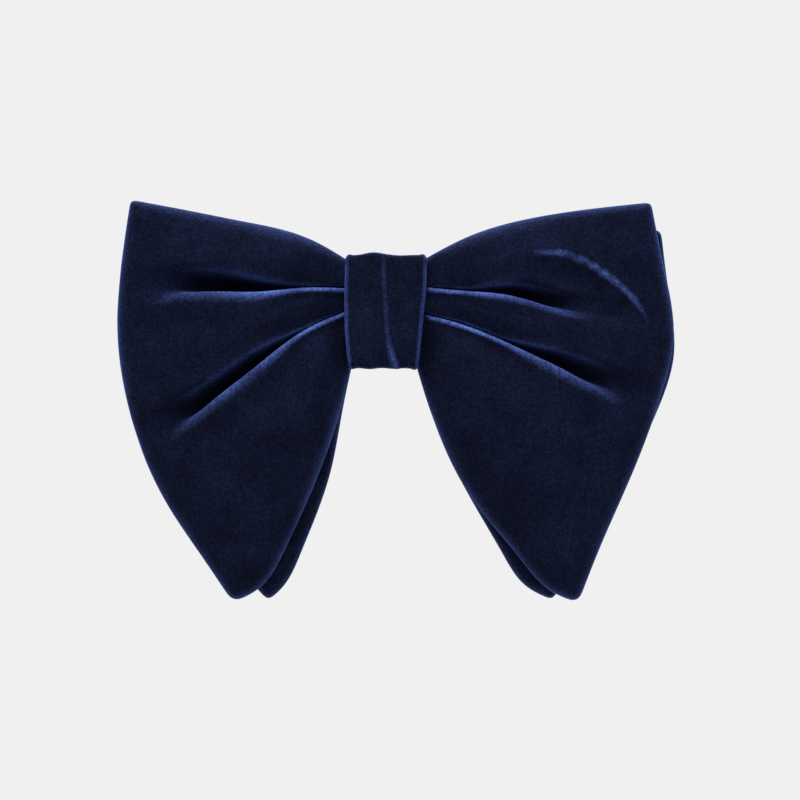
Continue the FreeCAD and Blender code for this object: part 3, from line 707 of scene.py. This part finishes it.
def crease_rise(side, out, up):
    """The height of the loose creases that cross a wing, and a painted highlight along the crests of
    the tall ones.
    """
    rise = np.zeros(out.shape)
    crest = np.zeros(out.shape)
    for line, tall, wide in CREASES[side]:
        line = through(line, np.linspace(0, 1, 40))
        gaps = np.stack([np.hypot(out - x, up - z) for x, z in line])
        nearest = gaps.min(axis=0)
        share = gaps.argmin(axis=0) / (len(line) - 1)
        fade = np.sin(np.pi * np.clip(share, 0.02, 0.98)) ** 0.5
        rise += hump(nearest, tall, wide) * fade
        if tall > SHARP_CREASE:
            crest += hump(nearest, **CREASE_SHINE) * fade
    return rise, crest


CORNER_RADIUS = {
    "front": {"top": 1.6, "tip": 2.8},
    "back": {"top": 1.6, "tip": 1.8},
}
# The rim sinks this far over this distance, in mm.
RIM_SINK, RIM_SINK_REACH = 0.9, 7.0
RIPPLE_HEIGHT = 0.9
RIPPLE_SEED = {"left": 3.1, "right": -4.7, "inner sheets": 8.2}


def place_and_distance(wing, across, layer):
    """Plan places with the outer corners rounded, and how far each is from the nearest edge."""
    places = wing.plan(across)
    top, inner, outer = edge_distances(wing, across, places)
    nearest = np.minimum(np.minimum(top, inner), outer)
    places = round_corner(places, top, outer, CORNER_RADIUS[layer]["top"], True)
    places = round_corner(places, inner, outer, CORNER_RADIUS[layer]["tip"], False)
    return places, nearest


def wing_shape(side, layer):
    """One wing's velvet: its plan, height, distance from the edge, painted shade in fold floors and
    painted highlight on crests.
    """
    wing = Wing(side, layer)
    across, height, inside, crest = wing_rows(wing)
    places, nearest = place_and_distance(wing, across, layer)
    full = LAYER_FULLNESS[layer]
    puff = PUFF * ease(0.0, 0.25, wing.along)[None, :] * (1 - np.exp(-nearest / PUFF_REACH))
    height = height + full * (crown(wing, across) + puff)
    height = height - RIM_SINK * full * np.exp(-nearest / RIM_SINK_REACH)
    loose = ease(3, 12, nearest) * ease(0.1, 0.4, wing.along)[None, :]
    out, up = places[..., 0], places[..., 1]
    height = height + RIPPLE_HEIGHT * full * loose * ripple(out, up, RIPPLE_SEED[side])
    rise, crease_painted_highlight = crease_rise(side, out, up)
    height = height + full * ease(2, 8, nearest) * rise
    # Painted highlight along the tall creases' crests, kept off the edges.
    crest = crest + crease_painted_highlight * ease(2, 8, nearest)
    return places, height, nearest, inside, crest


# Rows of an inner sheet by line number, close together at its top and inner edges.
SHEET_ROWS = np.concatenate([[0, 0.03, 0.1], np.linspace(0.2, 2.85, 44), [2.93, 2.98, 3]])
SHEET_WAVE, SHEET_FOLD = 0.7, 0.6
# How much narrower an inner sheet is where it passes through the knot.
SHEET_GATHER = 0.12


def backing_shape(side, layer, inset, level):
    """A flat inner panel of one wing: its plan and height, gently waved."""
    wing = Wing(side, layer)
    across = SHEET_ROWS[:, None] + np.zeros(len(wing.along))[None, :]
    places, nearest = place_and_distance(wing, across, layer)
    middle = places[places.shape[0] // 2, places.shape[1] // 2]
    span = np.linalg.norm(places - middle, axis=2, keepdims=True)
    pull = inset * np.exp(-nearest / RIM_SINK_REACH)[..., None]
    hanging = ease(0.04, 0.14, wing.along)[None, :, None]
    places = places + (middle - places) / np.maximum(span, 1) * pull * hanging
    places[..., 1] *= 1 - SHEET_GATHER * (1 - hanging[..., 0])
    waves = 0.5 + 0.5 * ripple(places[..., 0], places[..., 1], RIPPLE_SEED["inner sheets"])
    folds = hump(across, 1, 0.16, at=1.05) + hump(across, 1, 0.14, at=1.93)
    folds = folds * (1 - ease(0.4, 0.9, wing.along))[None, :]
    height = level - (SHEET_WAVE * waves + SHEET_FOLD * folds) * ease(4, 14, nearest)
    return places, height


def face_forward(piece):
    """Turn the cloth's right side towards the front."""
    make_active(piece)
    bpy.ops.object.mode_set(mode="EDIT")
    bpy.ops.mesh.select_all(action="SELECT")
    bpy.ops.mesh.flip_normals()
    bpy.ops.object.mode_set(mode="OBJECT")


def thicken_cloth(piece, thickness):
    """Give a sheet its thickness, in mm, behind its face, and round it once."""
    cloth = piece.modifiers.new("cloth", "SOLIDIFY")
    cloth.thickness = thickness * MM
    cloth.offset = -1
    smooth = piece.modifiers.new("smooth", "SUBSURF")
    smooth.levels = 1
    smooth.render_levels = 1
    apply_modifiers(piece)
    smooth_faces(piece)


# The wings sweep back a little as they go out from the knot.
SWEEP = math.tan(math.radians(4.0))
# From the front of the velvet's part to the wing's plan, in mm.
PLAN_BACK = 0.9
# The hem: how far in from the rim, and how far behind it, in mm.
HEM_STEPS = ((0.35, 0.55), (1.2, 0.75), (4.6, 0.8), (4.7, 0.45))
HEM_SMOOTHING = 6
# No point of the face sinks more than this behind the rolled rim, in mm.
MOST_BEHIND = 2.2
# The two sheets inside a wing: how far forward, how far in from the rim and how thick, in mm.
INNER_SHEETS = (
    ("interlining", -3.75, 3.0, 0.3, CANVAS),
    ("lining", -4.15, 2.4, 0.25, LINING),
)


def rim_line(grid):
    """The rows and columns of a block of points read round its top, outer and inner edges."""
    return np.concatenate([grid[0, :-1], grid[:, -1], grid[-1, :-1][::-1]])


def turned_hem(places, height):
    """The cloth turned over behind the wing: rows inwards from the rim, and their heights."""
    rim = rim_line(places)
    level = rim_line(height[..., None])[:, 0]
    before = np.diff(rim, axis=0, prepend=2 * rim[:1] - rim[1:2])
    after = np.diff(rim, axis=0, append=2 * rim[-1:] - rim[-2:-1])
    along = unit(before) + unit(after)
    for _ in range(HEM_SMOOTHING):
        along[1:-1] = (along[:-2] + 2 * along[1:-1] + along[2:]) / 4
    inward = square_to(along)
    hem = [rim] + [rim + inward * step for step, _ in HEM_STEPS]
    behind = [level] + [level - back for _, back in HEM_STEPS]
    return np.array(hem), np.array(behind)


def add_shade(piece, floors, crests):
    """Store where painted shade darkens a fold's floor and where a painted highlight lights a crest."""
    for label, amount in (("painted_shade_in_folds", floors), ("painted_highlight_on_crests", crests)):
        shade = piece.data.attributes.new(label, "FLOAT", "POINT")
        shade.data.foreach_set("value", amount.reshape(-1))


def in_space(side, layer, plan, height):
    """Points in space, in mm, from a wing's plan and how far forward of it each one is."""
    low, _ = part_box(f"{layer}_{side}_velvet")
    sign = -1 if side == "left" else 1
    out, up = plan[..., 0], plan[..., 1]
    return np.stack([out * sign, low.y + PLAN_BACK + out * SWEEP - height, up], axis=2)


def velvet_face(side, layer):
    """The velvet of one wing, with its folds, rolled edges and hem."""
    places, height, nearest, inside, crest = wing_shape(side, layer)
    height = np.maximum(height + roll(nearest), -ROLL_DEPTH - MOST_BEHIND)
    name = f"{layer}_{side}_wing_velvet"
    piece = cloth_grid(name, in_space(side, layer, places, height), places)
    hem, behind = turned_hem(places, height)
    back = cloth_grid(name + "_hem", in_space(side, layer, hem, behind), hem)
    # Painted shade in the fold floors and painted highlight on the crests and creases; the hem gets
    # none.
    add_shade(piece, inside, crest)
    add_shade(back, behind * 0, behind * 0)
    join([piece, back])
    weld(piece, 2e-6)
    if faces_back(piece):
        face_forward(piece)
    thicken_cloth(piece, CLOTH)
    finish_panel(piece, side, layer, "velvet", VELVET)


def faces_back(piece):
    """Whether the cloth's right side mostly faces away from the viewer."""
    count = len(piece.data.polygons)
    normals = np.empty(count * 3)
    areas = np.empty(count)
    piece.data.polygons.foreach_get("normal", normals)
    piece.data.polygons.foreach_get("area", areas)
    return np.sum(normals.reshape(-1, 3)[:, 1] * areas) > 0


def inner_sheet(side, layer, kind, level, inset, thickness, material):
    """The interlining or the lining: a flatter copy of the wing, behind the velvet."""
    places, height = backing_shape(side, layer, inset, level)
    places, height = places[:, ::2], height[:, ::2]
    name = f"{layer}_{side}_wing_{kind}"
    piece = cloth_grid(name, in_space(side, layer, places, height), places)
    if side == "left":
        face_forward(piece)
    thicken_cloth(piece, thickness)
    finish_panel(piece, side, layer, kind, material)


def finish_panel(piece, side, layer, kind, material):
    give(piece, material)
    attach(piece, "bow")
    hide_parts(f"{layer}_{side}_{kind}")


for wing_side in ("left", "right"):
    for wing_layer in ("front", "back"):
        velvet_face(wing_side, wing_layer)
        for inner in INNER_SHEETS:
            inner_sheet(wing_side, wing_layer, *inner)


# ------------ knot

def bent_line(corners, radius, steps):
    """A closed line in the (y, z) plane through rounded corners."""
    corners = [np.array(corner, float) for corner in corners]
    line = []
    for index, corner in enumerate(corners):
        start = corner + unit(corners[index - 1] - corner) * radius
        stop = corner + unit(corners[(index + 1) % len(corners)] - corner) * radius
        for share in np.linspace(0, 1, steps):
            line.append((1 - share) ** 2 * start + 2 * share * (1 - share) * corner + share ** 2 * stop)
    return np.array(line)


def resample(line, count, closed=False):
    """The same line with evenly spaced points."""
    line = np.vstack([line, line[:1]]) if closed else np.asarray(line, float)
    place = lengths_along(line)
    wanted = np.linspace(0, place[-1], count + 1)[:-1] if closed else np.linspace(0, place[-1], count)
    return np.stack([np.interp(wanted, place, line[:, axis]) for axis in range(line.shape[1])], axis=1)


# The knot's fold and sides as seen from the front: out and up from its centre, in mm.
KNOT_FOLD = [(-0.9, 14.0), (-0.6, 6.0), (-0.1, -1.7), (0.3, -8.0), (1.5, -12.6), (3.0, -15.6)]
KNOT_LEFT = [(-11.2, 14.5), (-11.4, 5.0), (-11.3, -5.0), (-10.4, -15.0)]
KNOT_RIGHT = [(11.0, 14.5), (10.6, 5.0), (9.6, -5.0), (8.7, -15.0)]
KNOT_EDGE = np.array([0, 0.06, 0.2, 0.45, 0.85, 1.4, 2.1, 3.0])
KNOT_WIDTH = 21
KNOT_POINTS = 190
KNOT_CORNER = 3.0
KNOT_CLOTH = 1.15
# How far inside the part's front and back the wrap's middle line runs, and how much its front
# leans forward at the foot, in mm.
KNOT_INSIDE = {"front": -0.3, "back": 0.9}
KNOT_LEAN = 0.2
# Rises in the wrap, in mm: of each half, down the fold, beside it, along the rims, on top.
KNOT_PANEL, KNOT_PANEL_WIDTH = 0.75, 9.5
KNOT_RIDGE = {"height": 0.75, "width": 1.3}
KNOT_CREASE = {"height": -0.35, "width": 0.8, "at": 2.4}
KNOT_SELVEDGE = {"height": 0.45, "width": 0.8, "at": 1.1}
KNOT_TOP = {"height": 0.7, "width": 4.0, "at": -3.5}
KNOT_UNEVEN = 0.45
# How deep the rims turn in at the back and sides, and how much deeper on the flat front.
KNOT_TUCK, KNOT_TUCK_FRONT = 1.5, 2.6
KNOT_TUCK_WIDTH = 1.3
# Painted highlight on the pile: on the fold, least near the top, and along the rims.
FOLD_SHINE = {"height": 0.55, "width": 1.2}
FOLD_SHINE_TOP = 0.45
RIM_SHINE = {"height": 0.4, "width": 0.45, "at": 0.7}


def at_height(line, up):
    """How far out a line is at each height."""
    line = sorted(line, key=lambda point: point[1])
    return np.interp(up, [point[1] for point in line], [point[0] for point in line])


def knot_loop():
    """The wrap's middle line round the gathers in the (y, z) plane, and which way is outwards."""
    low, high = part_box("knot_wrap")
    front = low.y + KNOT_INSIDE["front"]
    back = high.y - KNOT_INSIDE["back"]
    corners = [(front, 14.9), (front - KNOT_LEAN, -15.8), (back, -14.4), (back, 14.2)]
    loop = resample(bent_line(corners, KNOT_CORNER, 12), KNOT_POINTS, closed=True)
    outward = square_to(np.roll(loop, -1, axis=0) - np.roll(loop, 1, axis=0))
    if np.sum(outward * (loop - loop.mean(axis=0))) < 0:
        outward = -outward
    return loop, outward


def knot_wrap():
    """The velvet band wound once round the middle, with one fold down its front."""
    loop, outward = knot_loop()
    across = np.concatenate([
        KNOT_EDGE / KNOT_WIDTH, np.linspace(4.2, 16.8, 54) / KNOT_WIDTH,
        1 - KNOT_EDGE[::-1] / KNOT_WIDTH,
    ])
    frontness = ease(0.2, 0.9, -outward[:, 0])
    flat_front = ease(0.93, 0.998, -outward[:, 0])
    on_top = ease(0.4, 0.95, outward[:, 1])
    low_end = FOLD_SHINE_TOP + (1 - FOLD_SHINE_TOP) * ease(7, 13, -loop[:, 1])
    left = at_height(KNOT_LEFT, loop[:, 1])
    right = at_height(KNOT_RIGHT, loop[:, 1])
    fold = at_height(KNOT_FOLD, loop[:, 1])
    points = np.empty((len(across), KNOT_POINTS, 3))
    crest = np.empty((len(across), KNOT_POINTS))
    for row, share in enumerate(across):
        x = left + (right - left) * share
        edge = np.minimum(x - left, right - x)
        off = x - fold
        arch = np.sin(np.pi * np.clip(edge / KNOT_PANEL_WIDTH, 0, 1) ** 0.8)
        rise = (KNOT_PANEL * arch + hump(off, **KNOT_RIDGE)) * frontness
        rise += hump(np.abs(off), **KNOT_CREASE) * frontness
        rise += hump(edge, **KNOT_SELVEDGE) + hump(x, **KNOT_TOP) * on_top
        # Painted highlight down the front fold and along both rims.
        crest[row] = hump(off, **FOLD_SHINE) * frontness * low_end + hump(edge, **RIM_SHINE)
        bend = 1 - np.clip(edge / (KNOT_TUCK_WIDTH * (1 + frontness)), 0, 1)
        rise -= (KNOT_TUCK + KNOT_TUCK_FRONT * flat_front) * (1 - np.sqrt(1 - bend ** 2))
        rise += [
            KNOT_UNEVEN * noise.noise(Vector((out * 0.22, y * 0.16, z * 0.16)))
            for out, (y, z) in zip(x, loop)
        ]
        points[row, :, 0] = x
        points[row, :, 1:] = loop + outward * rise[:, None]
    points = np.concatenate([points, points[:, :1]], axis=1)
    crest = np.concatenate([crest, crest[:, :1]], axis=1)
    uv = np.stack(np.meshgrid(np.arange(KNOT_POINTS + 1) * 0.5, across * KNOT_WIDTH), axis=2)
    piece = cloth_grid("knot_wrap_velvet", points, uv)
    # The knot gets painted highlight only, no painted shade.
    add_shade(piece, crest * 0, crest)
    weld(piece, 1e-6)
    thicken_cloth(piece, KNOT_CLOTH)
    give(piece, VELVET)
    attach(piece, "bow")
    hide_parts("knot_wrap")


PAD_WIDTH_SHARE = 0.86
PAD_EDGE = 0.9


def knot_padding():
    """A small pad under the wrap that fills the knot out."""
    low, high = part_box("knot_padding")
    deselect_all()
    bpy.ops.mesh.primitive_cube_add(size=1, location=(low + high) / 2 * MM)
    piece = bpy.context.object
    piece.name = "knot_pad"
    size = high - low
    piece.dimensions = Vector((size.x * PAD_WIDTH_SHARE, size.y, size.z)) * MM
    bpy.ops.object.transform_apply(location=True, rotation=True, scale=True)
    rounding = piece.modifiers.new("edges", "BEVEL")
    rounding.width = PAD_EDGE * MM
    rounding.segments = 3
    smooth = piece.modifiers.new("smooth", "SUBSURF")
    smooth.levels = 2
    apply_modifiers(piece)
    bpy.ops.object.shade_smooth()
    give(piece, CANVAS)
    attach(piece, "bow")
    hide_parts("knot_padding")


def tube(name, line, radius, sides=8):
    """A round thread along a line of points, in mm."""
    line = np.asarray(line, float)
    tangent = unit(np.gradient(line, axis=0))
    side = unit(np.cross(tangent, np.array([0.31, 0.17, 0.93])))
    other = np.cross(tangent, side)
    turns = np.linspace(0, 2 * math.pi, sides + 1)
    points = np.stack([
        line + radius * (math.cos(turn) * side + math.sin(turn) * other) for turn in turns
    ])
    uv = np.stack(np.meshgrid(lengths_along(line), turns * radius), axis=2)
    piece = cloth_grid(name, points, uv)
    weld(piece, 1e-7, cap_ends=True)
    smooth_faces(piece)
    return piece


THREAD_TURNS = 5
THREAD_RADIUS = 0.3
THREAD_UP = 13.2


def waist_thread():
    """Turns of thread drawn tight round the gathered wings, inside the wrap."""
    low, high = part_box("waist_thread")
    front, back = low.y + THREAD_RADIUS, high.y - THREAD_RADIUS
    corners = [(front, THREAD_UP), (front, -THREAD_UP), (back, -THREAD_UP), (back, THREAD_UP)]
    once = resample(bent_line(corners, 2.0, 6), 72, closed=True)
    around = np.vstack([once] * THREAD_TURNS + [once[:1]])
    x = np.linspace(low.x + 0.4, high.x - 0.4, len(around))
    piece = tube("waist_binding_thread", np.column_stack([x, around]), THREAD_RADIUS)
    give(piece, THREAD)
    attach(piece, "bow")
    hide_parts("waist_thread")


# Half the length of one stitch, how deep its ends dip and the thread's radius, in mm.
STITCH_HALF, STITCH_DIP, STITCH_RADIUS = 0.9, 0.12, 0.14


def stitches(name, node, count, body, tall=0.2, lean=0.0, outward=None):
    """A row of short hand stitches, each an arch of thread that dips into the cloth at both ends."""
    low, high = part_box(node)
    middle = (low + high) / 2
    outward = Vector(outward or (middle.x, middle.y, 0)).normalized()
    sideways = Vector((outward.y, -outward.x, 0))
    spacing = (high.z - low.z) / count
    pieces = []
    for index in range(count):
        centre = Vector((middle.x, middle.y, low.z + (index + 0.5) * spacing))
        arch = []
        for share in np.linspace(-1, 1, 9):
            spot = centre + sideways * STITCH_HALF * share + Vector((0, 0, lean * share))
            spot += outward * (tall * (1 - share ** 2) - STITCH_DIP)
            arch.append(spot[:])
        pieces.append(tube(f"{name}_{index}", arch, STITCH_RADIUS, 6))
    row = join(pieces)
    row.name = name
    give(row, THREAD)
    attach(row, body)
    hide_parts(node)


knot_wrap()
knot_padding()
waist_thread()
stitches("knot_closing_stitches", "knot_stitches", 9, "bow", 0.35, 0.55, (0, 1, 0))


# ------------ neck band

# Distances out from the neck's axis to the middle of each run of ribbon, in mm.
STRAP_MID = 64.15
RUN_MID = 65.8
RETURN_MID = 68.9
LOOP_MIDS = (68.05, 68.95)
TAIL_RETURN_MID = 65.05
FRONT_MID = 66.2
# Bars that the ribbon turns round: out from the axis in mm, and degrees round from the front.
EYE_PLACE = (67.35, 172.0)
HOOK_PLACE = (65.5, 189.0)
SLIDER_PLACE = (67.95, 122.0)
# Across the front the band is straight to its corners; it joins the neck's arc at this turn.
CORNER_OUT = 11.85
TANGENT_TURN = 27.7
FRONT_START = {"right": -4.6, "left": -4.9}
# The right ribbon steps out here, to pass inside its own return.
STEP_FROM, STEP_TO = 97.4, 100.4
STEP_OUT = (
    (STRAP_MID, 98.0), (STRAP_MID + 0.6, 98.45), (RUN_MID - 0.6, 99.0), (RUN_MID, 99.6),
)
# Turns at which the return run starts and stops, and between which it follows both its ends.
RETURN_START, RETURN_STOP = 170.15, 128.9
STRAP_WIDTH = 16.0
STRAP_THICKNESS = 0.9
LOOP_THICKNESS = 0.86
SELVEDGE = 0.25


def round_neck(radius, turn):
    """A point round the neck, turn degrees from the front towards the wearer's left."""
    return np.array([radius * math.sin(math.radians(turn)), -radius * math.cos(math.radians(turn))])


def arc(radius, start, stop, step=1.0):
    count = max(int(abs(stop - start) / step), 2)
    return [round_neck(radius, turn) for turn in np.linspace(start, stop, count)]


def round_bar(place, radius, start, stop, steps=14):
    """Points round a bar; start and stop are degrees from straight outwards."""
    centre = round_neck(*place)
    outward = centre / np.linalg.norm(centre)
    sideways = np.array([-outward[1], outward[0]])
    return [
        centre + radius * (math.cos(a) * outward + math.sin(a) * sideways)
        for a in np.radians(np.linspace(start, stop, steps))
    ]


def ribbon(name, line, thickness=STRAP_THICKNESS, step=0.8):
    """A woven ribbon on edge along a line seen from above, and how long it is in mm."""
    line = np.array(line)
    length = lengths_along(line)[-1]
    line = resample(line, max(int(length / step), 8))
    outward = square_to(np.gradient(line, axis=0))
    half = thickness / 2
    top = STRAP_WIDTH / 2
    inner_face = [
        (-top, -half * 0.35), (-top + SELVEDGE, -half), (-top / 2, -half * 0.96),
        (0, -half * 0.94), (top / 2, -half * 0.96), (top - SELVEDGE, -half), (top, -half * 0.35),
    ]
    outer_face = [(up, -out) for up, out in inner_face[::-1]]
    profile = inner_face + outer_face + inner_face[:1]
    points = np.empty((len(profile), len(line), 3))
    for row, (up, out) in enumerate(profile):
        points[row, :, :2] = line + outward * out
        points[row, :, 2] = up
    uv = np.stack(np.meshgrid(lengths_along(line), [up for up, _ in profile]), axis=2)
    piece = cloth_grid(name, points, uv)
    weld(piece, 1e-6, cap_ends=True)
    smooth_faces(piece)
    bpy.ops.object.shade_smooth_by_angle(angle=math.radians(50))
    give(piece, RIBBON)
    return piece, float(length)


def neck_band():
    """The five ribbons of the band, from the right end of the knot round to the left."""
    right_line = (
        [(FRONT_START["right"], -FRONT_MID), (CORNER_OUT, -FRONT_MID)]
        + arc(STRAP_MID, TANGENT_TURN, STEP_FROM)
        + [round_neck(*place) for place in STEP_OUT]
        + arc(RUN_MID, STEP_TO, EYE_PLACE[1])
        + round_bar(EYE_PLACE, 1.55, 170, 10) + arc(RETURN_MID, EYE_PLACE[1], 170.2, 0.4)
    )
    right, length = ribbon("right_neck_ribbon", right_line)
    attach(right, "bow")
    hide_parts("right_band")

    back, length = ribbon("return_ribbon", arc(RETURN_MID, RETURN_START, RETURN_STOP))
    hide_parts("return_run")
    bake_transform(back)

    inner_mid, outer_mid = LOOP_MIDS
    loop_line = (
        arc(inner_mid, 128.6, 123.4, 0.5) + round_bar(SLIDER_PLACE, 0.98, 160, 20, 10)
        + arc(outer_mid, 122.4, 128.7, 0.5)
    )
    loop, length = ribbon("slider_ribbon_loop", loop_line, LOOP_THICKNESS, step=0.5)
    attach(loop, "slider")
    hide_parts("slider_loop")

    left_line = (
        [(FRONT_START["left"], -FRONT_MID), (-CORNER_OUT, -FRONT_MID)]
        + arc(STRAP_MID, -TANGENT_TURN, -105.0)
    )
    left, length = ribbon("left_neck_ribbon", left_line)
    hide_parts("left_band")
    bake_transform(left)

    tail_line = (
        arc(STRAP_MID, -105.05, -171.0) + round_bar(HOOK_PLACE, 1.35, -170, -10)
        + arc(TAIL_RETURN_MID, -171.6, -163.8, 0.4)
    )
    tail, length = ribbon("clasp_tail_ribbon", tail_line, step=0.6)
    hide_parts("clasp_tail")
    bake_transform(tail)


def fitting(node, name, body, bevel):
    """A metal fitting with its edges broken."""
    source = frame["nodes"][node]
    make_active(source)
    bpy.ops.object.duplicate()
    piece = bpy.context.object
    piece.parent = None
    piece.name = name
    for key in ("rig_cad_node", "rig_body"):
        if key in piece:
            del piece[key]
    weld(piece, 1e-6)
    edges = piece.modifiers.new("edges", "BEVEL")
    edges.width = bevel * MM
    edges.segments = 2
    edges.limit_method = "ANGLE"
    edges.angle_limit = math.radians(35)
    apply_modifiers(piece)
    bpy.ops.object.shade_smooth_by_angle(angle=math.radians(40))
    give(piece, NICKEL)
    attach(piece, body)
    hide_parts(node)


neck_band()
stitches("slider_loop_stitches", "slider_stitches", 5, "slider")
stitches("clasp_tail_stitches", "tail_stitches", 5, "clasp_tail")
fitting("slider", "slide_adjuster", "slider", 0.16)
fitting("eye", "clasp_eye", "eye", 0.2)
fitting("hook", "clasp_hook", "hook", 0.16)


# ------------ camera, light and floor

# What the camera looks at, in mm, and how far in front of the neck's axis it stands, in metres.
AIM = (3.6, 0, -24.1)
CAMERA_AHEAD = 0.90
LENS, SENSOR = 137, 36
BACKDROP = (0.871, 0.871, 0.871)
# The backdrop is this bright as light on the tie, and 1 as seen by the camera.
BACKDROP_LIGHT = 0.35
# Each lamp's name, place and size in metres, and power in watts.
LAMPS = (
    ("key", (-0.15, -0.55, 0.80), 0.6, 16.0),
    ("fill", (0.75, -0.8, 0.25), 0.8, 4.0),
    ("rim", (0.1, 0.6, 0.8), 0.6, 6.0),
)
FLOOR_SIZE = 2.2
FLOOR_LEVEL = -0.30


def studio():
    """A long lens from straight ahead, an even pale backdrop, three soft lamps and a floor."""
    centre = Vector(AIM) * MM
    deselect_all()
    bpy.ops.object.camera_add(
        location=(centre.x, -CAMERA_AHEAD, centre.z), rotation=(math.radians(90), 0, 0)
    )
    camera = bpy.context.object
    camera.name = "camera"
    camera.data.lens = LENS
    camera.data.sensor_width = SENSOR
    bpy.context.scene.camera = camera
    world = bpy.data.worlds.new("studio")
    bpy.context.scene.world = world
    world.use_nodes = True
    nodes = world.node_tree.nodes
    links = world.node_tree.links
    background = nodes["Background"]
    background.inputs["Color"].default_value = (*BACKDROP, 1)
    seen = nodes.new("ShaderNodeLightPath")
    strength = nodes.new("ShaderNodeMapRange")
    set_inputs(strength, {"To Min": BACKDROP_LIGHT, "To Max": 1.0})
    links.new(seen.outputs["Is Camera Ray"], strength.inputs["Value"])
    links.new(strength.outputs["Result"], background.inputs["Strength"])
    bpy.context.scene.view_settings.view_transform = "Standard"
    for name, place, size, power in LAMPS:
        deselect_all()
        bpy.ops.object.light_add(type="AREA", location=place)
        light = bpy.context.object
        light.name = name
        light.data.size = size
        light.data.energy = power
        light.rotation_euler = (centre - Vector(place)).to_track_quat("-Z", "Y").to_euler()
    deselect_all()
    bpy.ops.mesh.primitive_plane_add(size=FLOOR_SIZE, location=(0, 0, FLOOR_LEVEL))
    floor = bpy.context.object
    floor.name = "floor"
    material, _, _, shader = new_material("floor")
    set_inputs(shader, {"Base Color": (0.87, 0.87, 0.87, 1), "Roughness": 0.9})
    give(floor, material)


studio()
